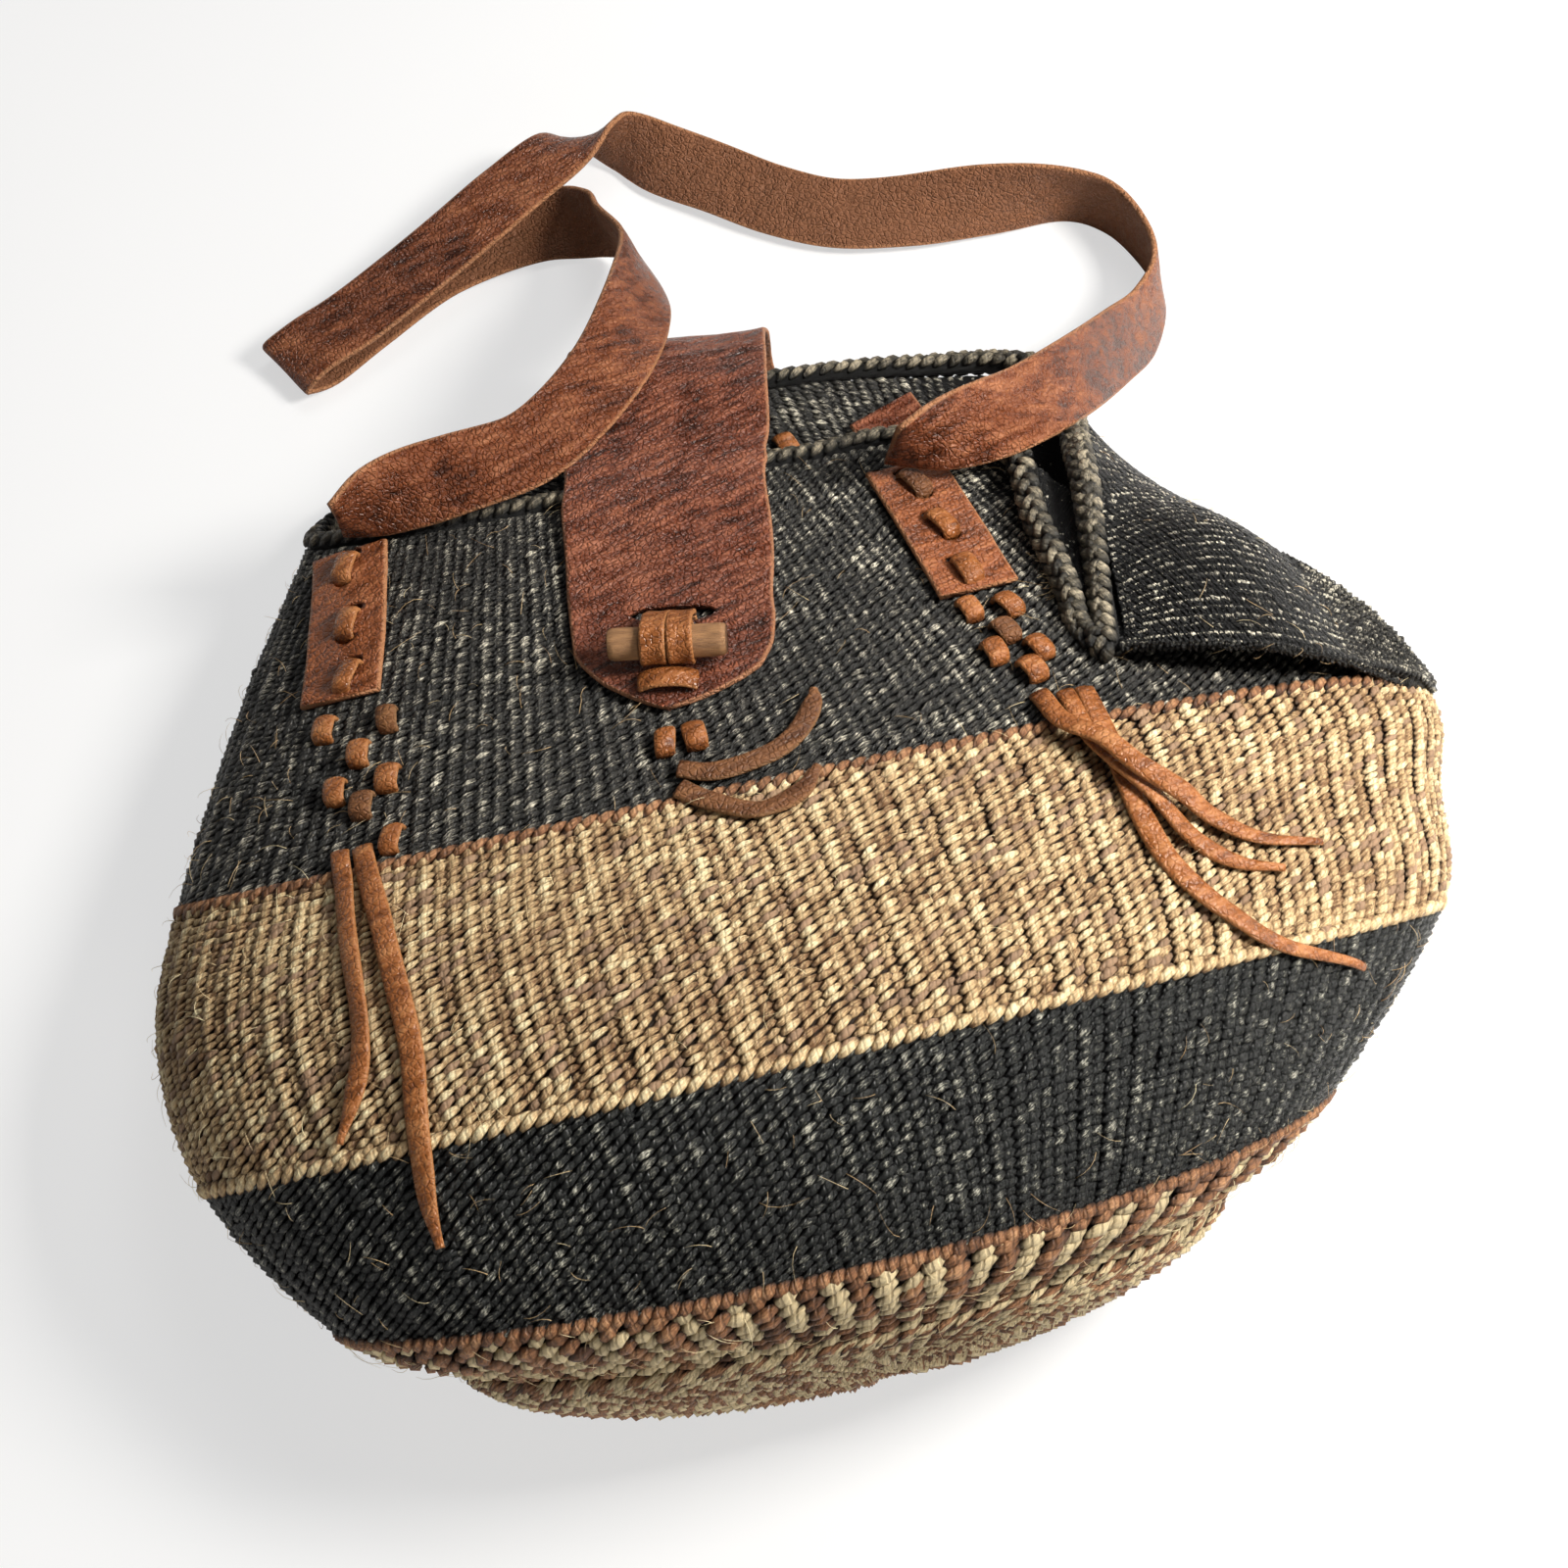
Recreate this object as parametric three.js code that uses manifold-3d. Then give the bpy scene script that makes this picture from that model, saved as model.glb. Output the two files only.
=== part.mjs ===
import * as THREE from 'three';
import { mergeVertices } from 'three/addons/utils/BufferGeometryUtils.js';
import Module from 'manifold-3d';

const wasm = await Module();
wasm.setup();

// Driving dimensions in millimetres. The bag lies on its back: +Y runs to the mouth, +Z up off the floor.
const SEAT = 0.3;
const WALL = 4.5;
const FOLD_WALL = 2.2;
const RIM_DEEP = 8;
const RIM_WIDE = 8.6;
const LEATHER = 2.4;
const STRAP_WIDE = 25.4;
const FLAP_WIDE = 69;
const FLAP_LOW_WIDE = 55;
const FLAP_TIP = 26;
const LACE_WIDE = 6;
const LACE_THICK = 2;
const TAIL_WIDE = 5.5;
const TAIL_THICK = 1.8;
const WALL_STITCH = 9.5;
const TAB_STITCH = 13;
const STITCH_RISE = 1.6;
const HOLE_EASE = 0.7;
const DOWEL_LONG = 37;
const DOWEL_WIDE = 10.5;
const LOOP_APART = 8;
const SLIT_LONG = 28;
const SLIT_WIDE = 6;
const SLIT_FROM_DOWEL = 18.5;
const TOGGLE_TURN = -14;
const HINGE_CLEAR = 2;
const RIBS = 72;
const SIDE_STEPS = 4;

// Rows of the wall from the base edge to the rim. Each row gives front centre (y, z), back centre (y, z),
// left side (x, y, z), right side (x, y, z) and the middle x.
const ROWS = [
  [-170, 74, -134, 8, -116, -138, 33, 122, -134, 33, 14],
  [-157, 97, -96, 0, -147, -124, 36, 160, -117, 37, 16],
  [-100, 113, -38, 0, -180, -74, 38, 213, -73, 40, 14],
  [-53, 107, 10, 0, -188, -25, 39, 227, -36, 41, 11],
  [-7, 94, 58, 0, -177, 18, 39, 236, 1, 41, 8],
  [60, 77, 127, 2.5, -148, 90, 36, 197, 70, 38, 4],
  [126, 60, 194, 9, -119, 149, 31, 156, 136, 32, 0],
];
const BASE_POLE = new THREE.Vector3(8, -175, 42);
const FLAT_BACK = 0.8;
const CORNER_FROM = 62;
const CORNER_TO = -65;
const DARK_FROM = 1;
const NATURAL_FROM = 2;
const NATURAL_TO = 4;
const RIM_ROW = 6;

// The mouth's right corner is folded over the front: angle, then where it lies on the middle row and the rim.
const CORNER = [
  [68, null, null],
  [55, null, null],
  [42, null, [125, 107, 61]],
  [30, [172, 64, 56], [126, 76, 68]],
  [18, [194, 60, 53], [127, 50, 73]],
  [7, [184, 10, 77], [128, 26, 78]],
  [-3, [184, 9, 84], [132, 20, 84]],
  [-14, [193, 60, 61], [139, 55, 78]],
  [-26, [196, 88, 22], [148, 100, 64]],
  [-38, [168, 110, 5], [158, 160, 24]],
  [-52, null, [112, 184, 9]],
  [-74, null, null],
];

// Routes on the wall as angle round the bag in degrees, row, and for crossing tails the lift off the wall.
const FLAP_ROUTE = [[96.5, 4.54], [95.5, 4.68], [94, 4.9], [92.5, 5.22], [90.5, 5.56], [88, 6.1]];
const TAB_LEFT = [[139.4, 4.95], [141.3, 5.3], [144.5, 5.66], [147.8, 5.92]];
const TAB_RIGHT = [[63, 4.875], [61.8, 5.15], [60.1, 5.5], [58.6, 5.78]];
const TAB_LEFT_STITCHES = [[146.2, 5.79], [141.3, 5.4], [138.4, 5.06]];
const TAB_RIGHT_STITCHES = [[59.6, 5.63], [61, 5.32], [62.8, 4.99]];
const WALL_LEFT_STITCHES = [
  [141, 4.8], [130.5, 4.8], [134, 4.64], [136.5, 4.46], [129, 4.48], [132, 4.36], [127.4, 4.14],
];
const WALL_RIGHT_STITCHES = [[65.5, 4.77], [61.5, 4.76], [64, 4.61], [66.5, 4.5], [62.4, 4.48], [64.6, 4.36]];
const TOGGLE_STITCHES = [[97.5, 4.36], [94.5, 4.36]];
const TAILS = {
  tail_left_inner: [[134, 4.12], [132.5, 3.8], [131, 3.14], [131.5, 2.66], [134, 2.34], [137.5, 2.1]],
  tail_left_outer: [
    [131, 4.12], [128, 3.6], [126.5, 3.02], [126.5, 2.52], [129, 2], [131.5, 1.7], [133, 1.52],
  ],
  tail_right_long: [
    [61.8, 4.18], [62.3, 3.94], [62.4, 3.52], [61.5, 3.06], [60, 2.64], [56.5, 2.3], [50, 2], [36.5, 1.78],
  ],
  tail_right_thin: [
    [63.6, 4.18], [64.1, 3.86, 1.4], [63, 3.55, 3.8], [60.5, 3.24, 3.2], [57.5, 2.86, 0.6], [54, 2.62], [49, 2.5],
  ],
  tail_right_upper: [
    [65.8, 4.2], [65.9, 3.95, 4], [63.8, 3.72, 7], [61.5, 3.42, 7.2], [58, 3.16, 5.6], [55, 2.98, 1.2],
    [50.5, 2.76], [43.5, 2.64],
  ],
  toggle_end_upper: [[97, 4.18], [93.5, 4.12], [89, 4.15], [86, 4.24], [83.6, 4.4], [83, 4.48]],
  toggle_end_lower: [[97.4, 4.06], [94.5, 3.92], [91, 3.8], [87.5, 3.86], [85.4, 4.02]],
};

// Shoulder strap: middle line (x, y, z) and the way its smooth side faces, from the left tab to the right.
const STRAP_ROUTE = [
  [-104, 135.5, 64, 0, -0.98, -0.2],
  [-85, 140, 65.5, 0, -0.8, 0.55],
  [-63, 143, 66, 0, -0.42, 0.9],
  [-37, 147, 66.5, 0.05, -0.2, 0.98],
  [-17, 160, 67, 0.1, -0.1, 0.99],
  [1, 182, 63, 0.25, 0, 0.97],
  [14, 210, 54, 0.6, 0, 0.8],
  [20, 241, 37, 0.9, 0.15, 0.4],
  [15, 268, 22, 0.75, 0.65, 0.1],
  [7, 283, 13.5, 0.35, 0.8, -0.5],
  [-13, 291, 7, 0, 0.35, -0.94],
  [-52, 283, 4.4, 0, 0.1, -1],
  [-86, 264, 2.6, 0, 0, -1],
  [-107, 251.5, 2.2, -0.1, 0, -1],
  [-117.5, 245.5, 7.5, -0.86, -0.5, 0],
  [-107, 250, 13, 0, 0, 1],
  [-86, 260, 14.5, 0, 0, 1],
  [-52, 280, 17.5, 0, 0, 1],
  [-21, 299, 21, 0, 0, 1],
  [2, 313, 22.5, -0.1, 0.1, 0.99],
  [17, 321, 18, -0.3, 0.75, 0.6],
  [28, 320, 14, 0.1, 0.97, -0.2],
  [42, 309, 12, 0.2, 0.7, -0.7],
  [60, 297, 10, 0.15, 0.45, -0.88],
  [81, 281, 9, 0.1, 0.4, -0.9],
  [103, 269, 9, 0, 0.4, -0.9],
  [130, 263, 10, 0, 0.5, -0.85],
  [160, 259, 12.5, 0, 0.8, -0.6],
  [190, 254, 13.6, 0.2, 0.97, -0.1],
  [206, 243, 13.8, 0.65, 0.75, 0],
  [213.5, 224, 14, 0.97, 0.2, 0.1],
  [213, 203, 15.5, 0.95, -0.15, 0.25],
  [200, 182, 21, 0.8, -0.35, 0.45],
  [180, 161, 39, 0.6, -0.4, 0.65],
  [154, 136, 62, 0.45, -0.35, 0.8],
  [128, 119, 75, 0.25, -0.35, 0.9],
  [105, 112, 80, 0.1, -0.75, 0.6],
  [80, 109.5, 82, 0, -0.98, -0.2],
];
const FLAP_BACK_ANGLE = -80;
const FLAP_ROOT = [[5.3, 0], [5.65, 0.5], [5.95, 2.4]];
const FLAP_OVER = [
  [26.5, 203, 4.4], [26.5, 208.5, 9], [27, 209, 19], [27, 205.5, 30], [25, 196.5, 42], [20, 178, 53],
];

const { clamp, degToRad, lerp, smoothstep } = THREE.MathUtils;

/** Value at u of a smooth curve through keys numbered from 0; its ends run on straight. */
function spline(keys, u) {
  const last = keys.length - 1;
  const i = clamp(Math.floor(u), 0, last - 1);
  const t = u - i;
  const from = keys[i];
  const to = keys[i + 1];
  const before = i > 0 ? keys[i - 1] : from.map((v, k) => 2 * v - to[k]);
  const after = i + 2 <= last ? keys[i + 2] : to.map((v, k) => 2 * v - from[k]);
  const rise = t * t * (3 - 2 * t);
  const leave = t * (1 - t) * (1 - t);
  const arrive = t * t * (t - 1);
  return from.map((v, k) => v + (to[k] - v) * rise
    + leave * (to[k] - before[k]) / 2 + arrive * (after[k] - v) / 2);
}

/** Point of the plain pot shape at an angle in degrees and a row. */
function pot(angle, row) {
  const [fy, fz, by, bz, lx, ly, lz, rx, ry, rz, xc] = spline(ROWS, row);
  const c = Math.cos(degToRad(angle));
  const s = Math.sin(degToRad(angle));
  const [ex, ey, ez] = c >= 0 ? [rx, ry, rz] : [lx, ly, lz];
  const reach = Math.abs(s);
  const y = ey + ((s >= 0 ? fy : by) - ey) * reach;
  const low = Math.max(bz, 0);
  const z = s >= 0 ? ez + (fz - ez) * reach : low + (ez - low) * Math.max(0, 1 - reach / FLAT_BACK) ** 2;
  return new THREE.Vector3(xc + (ex - xc) * Math.abs(c), y, z);
}

const cornerMoves = [1, 2].map((column) => CORNER.map((key) => {
  if (!key[column]) return [0, 0, 0];
  return new THREE.Vector3(...key[column]).sub(pot(key[0], NATURAL_TO + column)).toArray();
}));

/** How far the folded corner moves the wall on the middle row (0) or the rim (1). */
function cornerMove(angle, which) {
  const turn = angle > 180 ? angle - 360 : angle;
  if (turn > CORNER[0][0] || turn < CORNER.at(-1)[0]) return new THREE.Vector3();
  let i = 0;
  while (i < CORNER.length - 2 && turn < CORNER[i + 1][0]) i += 1;
  const u = i + (CORNER[i][0] - turn) / (CORNER[i][0] - CORNER[i + 1][0]);
  return new THREE.Vector3(...spline(cornerMoves[which], u));
}

/** Point of the outer wall; rows under 0 close the base and rows past the rim run on straight. */
function wallPoint(angle, row) {
  if (row > RIM_ROW) {
    const edge = wallPoint(angle, RIM_ROW);
    const way = edge.clone().sub(wallPoint(angle, RIM_ROW - 0.02)).multiplyScalar(50);
    return edge.addScaledVector(way, row - RIM_ROW);
  }
  if (row < 0) {
    const edge = wallPoint(angle, 0).sub(BASE_POLE);
    const arc = (row + 1) * Math.PI / 2;
    const out = Math.sin(arc);
    return edge.multiply(new THREE.Vector3(out, 1 - Math.cos(arc), out)).add(BASE_POLE);
  }
  const t = clamp((row - NATURAL_TO) / 2, 0, 1);
  const p = pot(angle, row);
  if (t === 0) return p;
  p.addScaledVector(cornerMove(angle, 0), 4 * t * (1 - t));
  return p.addScaledVector(cornerMove(angle, 1), t * (2 * t - 1));
}

/** Directions on the wall: along a degree of angle, along a row, and the outward normal. */
function wallFrame(angle, row) {
  const round = wallPoint(angle + 0.5, row).sub(wallPoint(angle - 0.5, row));
  const along = wallPoint(angle, row + 0.01).sub(wallPoint(angle, row - 0.01)).multiplyScalar(50);
  const normal = along.clone().cross(round).normalize();
  return { round, along, normal };
}

/** Thickness of the wall, which is pressed thin where the mouth's corner is folded. */
function wallThick(angle, row) {
  const turn = angle > 180 ? angle - 360 : angle;
  const round = clamp(Math.min((CORNER_FROM - turn) / 15, (turn - CORNER_TO) / 20), 0, 1);
  return lerp(WALL, FOLD_WALL, round * clamp((row - NATURAL_TO - 0.2) / 0.6, 0, 1));
}

/** Point lifted off the outer wall. */
function offWall(angle, row, lift) {
  return wallPoint(angle, row).addScaledVector(wallFrame(angle, row).normal, lift);
}

/** Closed body through rings of points; a ring of one point is a pole, open ends are capped. */
function body(rings, wrap = false) {
  const verts = [];
  const faces = [];
  const starts = rings.map((ring) => {
    const start = verts.length;
    verts.push(...ring);
    return start;
  });
  const bands = wrap ? rings.length : rings.length - 1;
  for (let i = 0; i < bands; i += 1) {
    const k = (i + 1) % rings.length;
    const count = Math.max(rings[i].length, rings[k].length);
    const at = (r, j) => starts[r] + (rings[r].length === 1 ? 0 : j % count);
    for (let j = 0; j < count; j += 1) {
      const quad = [at(i, j), at(i, j + 1), at(k, j + 1), at(k, j)];
      const rising = verts[quad[0]].distanceTo(verts[quad[2]]) < verts[quad[1]].distanceTo(verts[quad[3]]);
      const halves = rising ? [[0, 1, 2], [0, 2, 3]] : [[0, 1, 3], [1, 2, 3]];
      halves.map((half) => half.map((corner) => quad[corner]))
        .filter(([a, b, c]) => a !== b && b !== c && c !== a)
        .forEach((face) => faces.push(face));
    }
  }
  const cap = (r, turn) => {
    if (wrap || rings[r].length === 1) return;
    const ring = rings[r];
    const middle = ring.reduce((sum, p) => sum.add(p), new THREE.Vector3()).divideScalar(ring.length);
    verts.push(middle);
    for (let j = 0; j < ring.length; j += 1) {
      const pair = [starts[r] + j, starts[r] + (j + 1) % ring.length];
      if (turn) pair.reverse();
      faces.push([pair[0], verts.length - 1, pair[1]]);
    }
  };
  cap(0, false);
  cap(rings.length - 1, true);
  const volume = faces.reduce((sum, [a, b, c]) => sum + verts[a].dot(verts[b].clone().cross(verts[c])), 0);
  const geometry = new THREE.BufferGeometry();
  geometry.setAttribute('position', new THREE.Float32BufferAttribute(verts.flatMap((p) => p.toArray()), 3));
  geometry.setIndex(faces.flatMap(([a, b, c]) => (volume > 0 ? [a, b, c] : [a, c, b])));
  return geometry;
}

/** Four-cornered solid, turned the right way out; flat ones are dropped. */
function tetra(corners) {
  const [a, b, c, d] = corners;
  const volume = b.clone().sub(a).cross(c.clone().sub(a)).dot(d.clone().sub(a)) / 6;
  if (Math.abs(volume) < 1e-5) return [];
  const faces = volume > 0 ? [0, 2, 1, 0, 1, 3, 1, 2, 3, 0, 3, 2] : [0, 1, 2, 0, 3, 1, 1, 3, 2, 0, 2, 3];
  const geometry = new THREE.BufferGeometry();
  geometry.setAttribute('position', new THREE.Float32BufferAttribute(corners.flatMap((p) => p.toArray()), 3));
  geometry.setIndex(faces);
  return [solid(geometry)];
}

/** Solid of a ring of sections filled with tetrahedra, so that folds that lie on each other merge. */
function fused(sections) {
  const ways = [[1, 3], [1, 5], [2, 3], [2, 6], [4, 5], [4, 6]];
  const cells = [];
  sections.forEach((section, i) => {
    const pair = [section, sections[(i + 1) % sections.length]];
    for (let k = 0; k < section.length / 2 - 1; k += 1) {
      const corner = (bits) => {
        const step = k + (bits >> 1 & 1);
        return pair[bits & 1][bits & 4 ? section.length - 1 - step : step];
      };
      ways.forEach((way) => cells.push(...tetra([0, ...way, 7].map(corner))));
    }
  });
  return largest(wasm.Manifold.union(cells));
}

/** Sections of the woven wall between two rows, its lower edge seated off the row below; an ease swells it. */
function wallBand(from, to, steps, ease = 0) {
  const sections = [];
  for (let i = 0; i < RIBS; i += 1) {
    const angle = i * 360 / RIBS;
    const outer = [];
    const inner = [];
    for (let k = 0; k <= steps; k += 1) {
      const row = lerp(from, to, k / steps);
      const { normal } = wallFrame(angle, row);
      const skin = wallPoint(angle, rowShift(row, k === 0 ? SEAT : ease * Math.floor(k / steps)));
      outer.push(skin.clone().addScaledVector(normal, ease));
      inner.unshift(skin.clone().addScaledVector(normal, -wallThick(angle, row) - ease));
    }
    sections.push([...outer, ...inner]);
  }
  return sections;
}

/** Row that lies a distance in millimetres from another row at the same angle. */
function rowShift(row, distance) {
  return row + distance / wallFrame(90, row).along.length();
}

/** Rows of full rings closing the base. */
function baseCup(to, steps) {
  const ring = (row, lift) => Array.from({ length: RIBS }, (_, i) => offWall(i * 360 / RIBS, row, lift));
  const rows = Array.from({ length: steps }, (_, k) => lerp(-1, to, (k + 1) / steps));
  const inside = new THREE.Vector3(0, WALL, 0).add(BASE_POLE);
  return body([
    [BASE_POLE.clone()],
    ...rows.map((row) => ring(row, 0)),
    ...rows.reverse().map((row) => ring(row, -WALL)),
    [inside],
  ]);
}

/** Sections of the braided edge round the mouth, made larger all round by an ease. */
function rimBraid(ease) {
  const flat = 1 / Math.cos(Math.PI / 8);
  const sections = [];
  for (let i = 0; i < RIBS; i += 1) {
    const angle = i * 360 / RIBS;
    const { along, normal } = wallFrame(angle, RIM_ROW - 0.02);
    const up = along.normalize();
    const thick = wallThick(angle, RIM_ROW);
    const deep = RIM_DEEP / 2 * thick / WALL;
    const wide = RIM_WIDE / 2 * thick / WALL;
    const middle = wallPoint(angle, RIM_ROW).addScaledVector(up, SEAT + deep)
      .addScaledVector(normal, -thick / 2);
    sections.push(Array.from({ length: 8 }, (_, k) => {
      const turn = (k + 0.5) * Math.PI / 4;
      return middle.clone().addScaledVector(up, (deep + ease) * Math.cos(turn) * flat)
        .addScaledVector(normal, (wide + ease) * Math.sin(turn) * flat);
    }));
  }
  return sections;
}

/** Strip swept along points with given sideways directions; width may change along it. */
function strip(points, sides, width, thick) {
  const rings = points.map((p, i) => {
    const way = points[Math.min(i + 1, points.length - 1)].clone().sub(points[Math.max(i - 1, 0)]).normalize();
    const side = sides[i].clone().addScaledVector(way, -way.dot(sides[i])).normalize();
    const face = way.clone().cross(side);
    const half = width(i / (points.length - 1)) / 2;
    return [[-1, -1], [1, -1], [1, 1], [-1, 1]].map(([a, b]) => p.clone()
      .addScaledVector(side, a * half).addScaledVector(face, b * thick / 2));
  });
  return body(rings);
}

/** Place on a wall route, with the direction along it and the direction across it. */
function routeFrame(route, u) {
  const keys = route.map(([angle, row, lift = SEAT]) => [angle, row, lift]);
  const v = u * (keys.length - 1);
  const [angle, row, lift] = spline(keys, v);
  const ahead = spline(keys, Math.min(v + 0.02, keys.length - 1));
  const behind = spline(keys, Math.max(v - 0.02, 0));
  const way = wallPoint(ahead[0], ahead[1]).sub(wallPoint(behind[0], behind[1])).normalize();
  const { normal } = wallFrame(angle, row);
  const across = normal.clone().cross(way).normalize();
  return { angle, row, lift, way, normal, across };
}

/** Angle and row a distance sideways from a place on the wall, gone in short steps. */
function sideStep(angle, row, across, distance) {
  const place = [angle, row];
  const step = distance / SIDE_STEPS;
  for (let k = 0; k < SIDE_STEPS; k += 1) {
    const { round, along } = wallFrame(...place);
    const rr = round.dot(round);
    const ra = round.dot(along);
    const aa = along.dot(along);
    const pr = across.dot(round);
    const pa = across.dot(along);
    const det = rr * aa - ra * ra;
    place[0] += step * (pr * aa - pa * ra) / det;
    place[1] += step * (pa * rr - pr * ra) / det;
  }
  return place;
}

/** Length of a route on the wall, from its start until a share of it. */
function routeLong(route, until) {
  const points = Array.from({ length: 41 }, (_, k) => {
    const { angle, row } = routeFrame(route, until * k / 40);
    return wallPoint(angle, row);
  });
  return points.slice(1).reduce((sum, p, k) => sum + p.distanceTo(points[k]), 0);
}

/** Leather sheet hugging the wall along a route; lift is its underside's height off the wall. */
function wallSheet(route, stations, across, width, thick, lift) {
  const rings = [];
  for (let k = 0; k <= stations; k += 1) {
    const u = k / stations;
    const place = routeFrame(route, u);
    const under = [];
    const over = [];
    for (let j = 0; j <= across; j += 1) {
      const distance = (j / across - 0.5) * width(u);
      const [angle, row] = sideStep(place.angle, place.row, place.across, distance);
      under.push(offWall(angle, row, lift(u)));
      over.unshift(offWall(angle, row, lift(u) + thick));
    }
    rings.push([...under, ...over]);
  }
  return body(rings);
}

/** Loose lace lying on the wall along a route, narrowing to its cut end. */
function tail(route) {
  const steps = (route.length - 1) * 4;
  const points = [];
  const sides = [];
  for (let k = 0; k <= steps; k += 1) {
    const place = routeFrame(route, k / steps);
    points.push(offWall(place.angle, place.row, place.lift + TAIL_THICK / 2));
    sides.push(place.across);
  }
  return strip(points, sides, (u) => TAIL_WIDE * (1 - 0.55 * smoothstep(u, 0.8, 1)), TAIL_THICK);
}

/** Frame standing on the wall: origin off the wall, x across, y toward the mouth, z outward. */
function standing(angle, row, lift) {
  const { along, normal } = wallFrame(angle, row);
  const y = along.clone().addScaledVector(normal, -along.dot(normal)).normalize();
  const x = y.clone().cross(normal);
  return new THREE.Matrix4().makeBasis(x, y, normal).setPosition(offWall(angle, row, lift));
}

/** Lace stitch in its own frame: an arch of lace whose ends go down to a depth. */
function stitch(long, depth) {
  const half = (long - LACE_THICK) / 2;
  const base = LACE_THICK / 2;
  const profile = [
    [-half, -depth], [-half, base * 0.4], [-half * 0.6, base + STITCH_RISE * 0.75], [0, base + STITCH_RISE],
    [half * 0.6, base + STITCH_RISE * 0.75], [half, base * 0.4], [half, -depth],
  ];
  const points = profile.map(([y, z]) => new THREE.Vector3(0, y, z));
  return strip(points, points.map(() => new THREE.Vector3(1, 0, 0)), () => LACE_WIDE, LACE_THICK);
}

/** Body as a solid for cutting and joining. */
function solid(geometry) {
  const plain = new THREE.BufferGeometry();
  plain.setAttribute('position', geometry.getAttribute('position'));
  plain.setIndex(geometry.getIndex());
  const merged = mergeVertices(plain, 1e-4);
  return new wasm.Manifold(new wasm.Mesh({
    numProp: 3,
    vertProperties: new Float32Array(merged.getAttribute('position').array),
    triVerts: new Uint32Array(merged.getIndex().array),
  }));
}

/** Geometry of a solid. */
function surface(manifold) {
  const mesh = manifold.getMesh();
  const geometry = new THREE.BufferGeometry();
  geometry.setAttribute('position', new THREE.Float32BufferAttribute(mesh.vertProperties, 3));
  geometry.setIndex(Array.from(mesh.triVerts));
  return geometry;
}

/** Largest piece of a solid. */
function largest(manifold) {
  return manifold.decompose().reduce((most, piece) => (piece.volume() > most.volume() ? piece : most));
}

/** Box in a frame, by size and middle. */
function block(size, middle, frame) {
  return new THREE.BoxGeometry(...size).translate(...middle).applyMatrix4(frame);
}

const finishes = {
  sisal_dark: new THREE.MeshStandardMaterial({ color: 0x323230, roughness: 0.95, metalness: 0 }),
  sisal_natural: new THREE.MeshStandardMaterial({ color: 0xbea06e, roughness: 0.95, metalness: 0 }),
  sisal_marl: new THREE.MeshStandardMaterial({ color: 0x8f6e4c, roughness: 0.95, metalness: 0 }),
  leather: new THREE.MeshStandardMaterial({ color: 0x7d4128, roughness: 0.55, metalness: 0 }),
  lace: new THREE.MeshStandardMaterial({ color: 0xb9733c, roughness: 0.65, metalness: 0 }),
  wood: new THREE.MeshStandardMaterial({ color: 0xaa7d4b, roughness: 0.7, metalness: 0 }),
};
Object.entries(finishes).forEach(([name, finish]) => { finish.name = name; });

const group = new THREE.Group();
group.name = 'sisal_bucket_bag';

/** Adds one named sub-part. */
function add(name, geometry, finish) {
  geometry.computeVertexNormals();
  const mesh = new THREE.Mesh(geometry, finishes[finish]);
  mesh.name = name;
  group.add(mesh);
}

// Woven wall: four bands seated edge to edge and the braided rim.
add('base_cup', baseCup(DARK_FROM, 5), 'sisal_marl');
add('lower_dark_band', body(wallBand(DARK_FROM, NATURAL_FROM, 3), true), 'sisal_dark');
const natural = [0, SEAT / 2].map((ease) => fused(wallBand(NATURAL_FROM, NATURAL_TO, 4, ease)));
const rim = [0, SEAT / 2].map((ease) => fused(rimBraid(ease)));
const upperBand = fused(wallBand(NATURAL_TO, RIM_ROW, 8)).subtract(wasm.Manifold.union([...natural, ...rim]));
add('natural_band', surface(natural[0]), 'sisal_natural');
add('upper_dark_band', surface(largest(upperBand)), 'sisal_dark');
add('rim_braid', surface(rim[0]), 'sisal_dark');

// Flap: the front part lies on the front wall and lifts about a line over the front rim.
const flapLift = (u) => SEAT + (RIM_WIDE - WALL) / 2 * smoothstep(u, 0.7, 0.97);
const flapEnd = routeFrame(FLAP_ROUTE, 1);
const flapTop = offWall(flapEnd.angle, flapEnd.row, flapLift(1) + LEATHER / 2);
const flapAxisPoint = flapTop.clone().addScaledVector(flapEnd.way, HINGE_CLEAR);
const flapRound = (u) => {
  const tip = Math.min(routeLong(FLAP_ROUTE, u) / FLAP_TIP, 1);
  return lerp(FLAP_LOW_WIDE, FLAP_WIDE, u) * Math.max(0.08, Math.sin(tip ** 0.8 * Math.PI / 2));
};
const toggleFrame = standing(94.7, 4.8, SEAT + LEATHER)
  .multiply(new THREE.Matrix4().makeRotationZ(degToRad(TOGGLE_TURN)));
const ringIn = DOWEL_WIDE / 2 + SEAT;
const ringOut = ringIn + LACE_THICK;
const slit = block([SLIT_LONG, SLIT_WIDE, LEATHER * 4], [0, SLIT_FROM_DOWEL, 0], toggleFrame);
const flapFront = wallSheet(FLAP_ROUTE, 16, 6, flapRound, LEATHER, flapLift);
const hingeFrame = new THREE.Matrix4().makeBasis(flapEnd.across.clone().negate(), flapEnd.way, flapEnd.normal)
  .setPosition(flapAxisPoint);
const hingeSide = (from, toward) => solid(block([FLAP_WIDE * 2, FLAP_WIDE, FLAP_WIDE],
  [0, from + toward * FLAP_WIDE / 2, 0], hingeFrame));
add('flap_front', surface(solid(flapFront).subtract(solid(slit)).subtract(hingeSide(-HINGE_CLEAR, 1))), 'leather');

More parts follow.
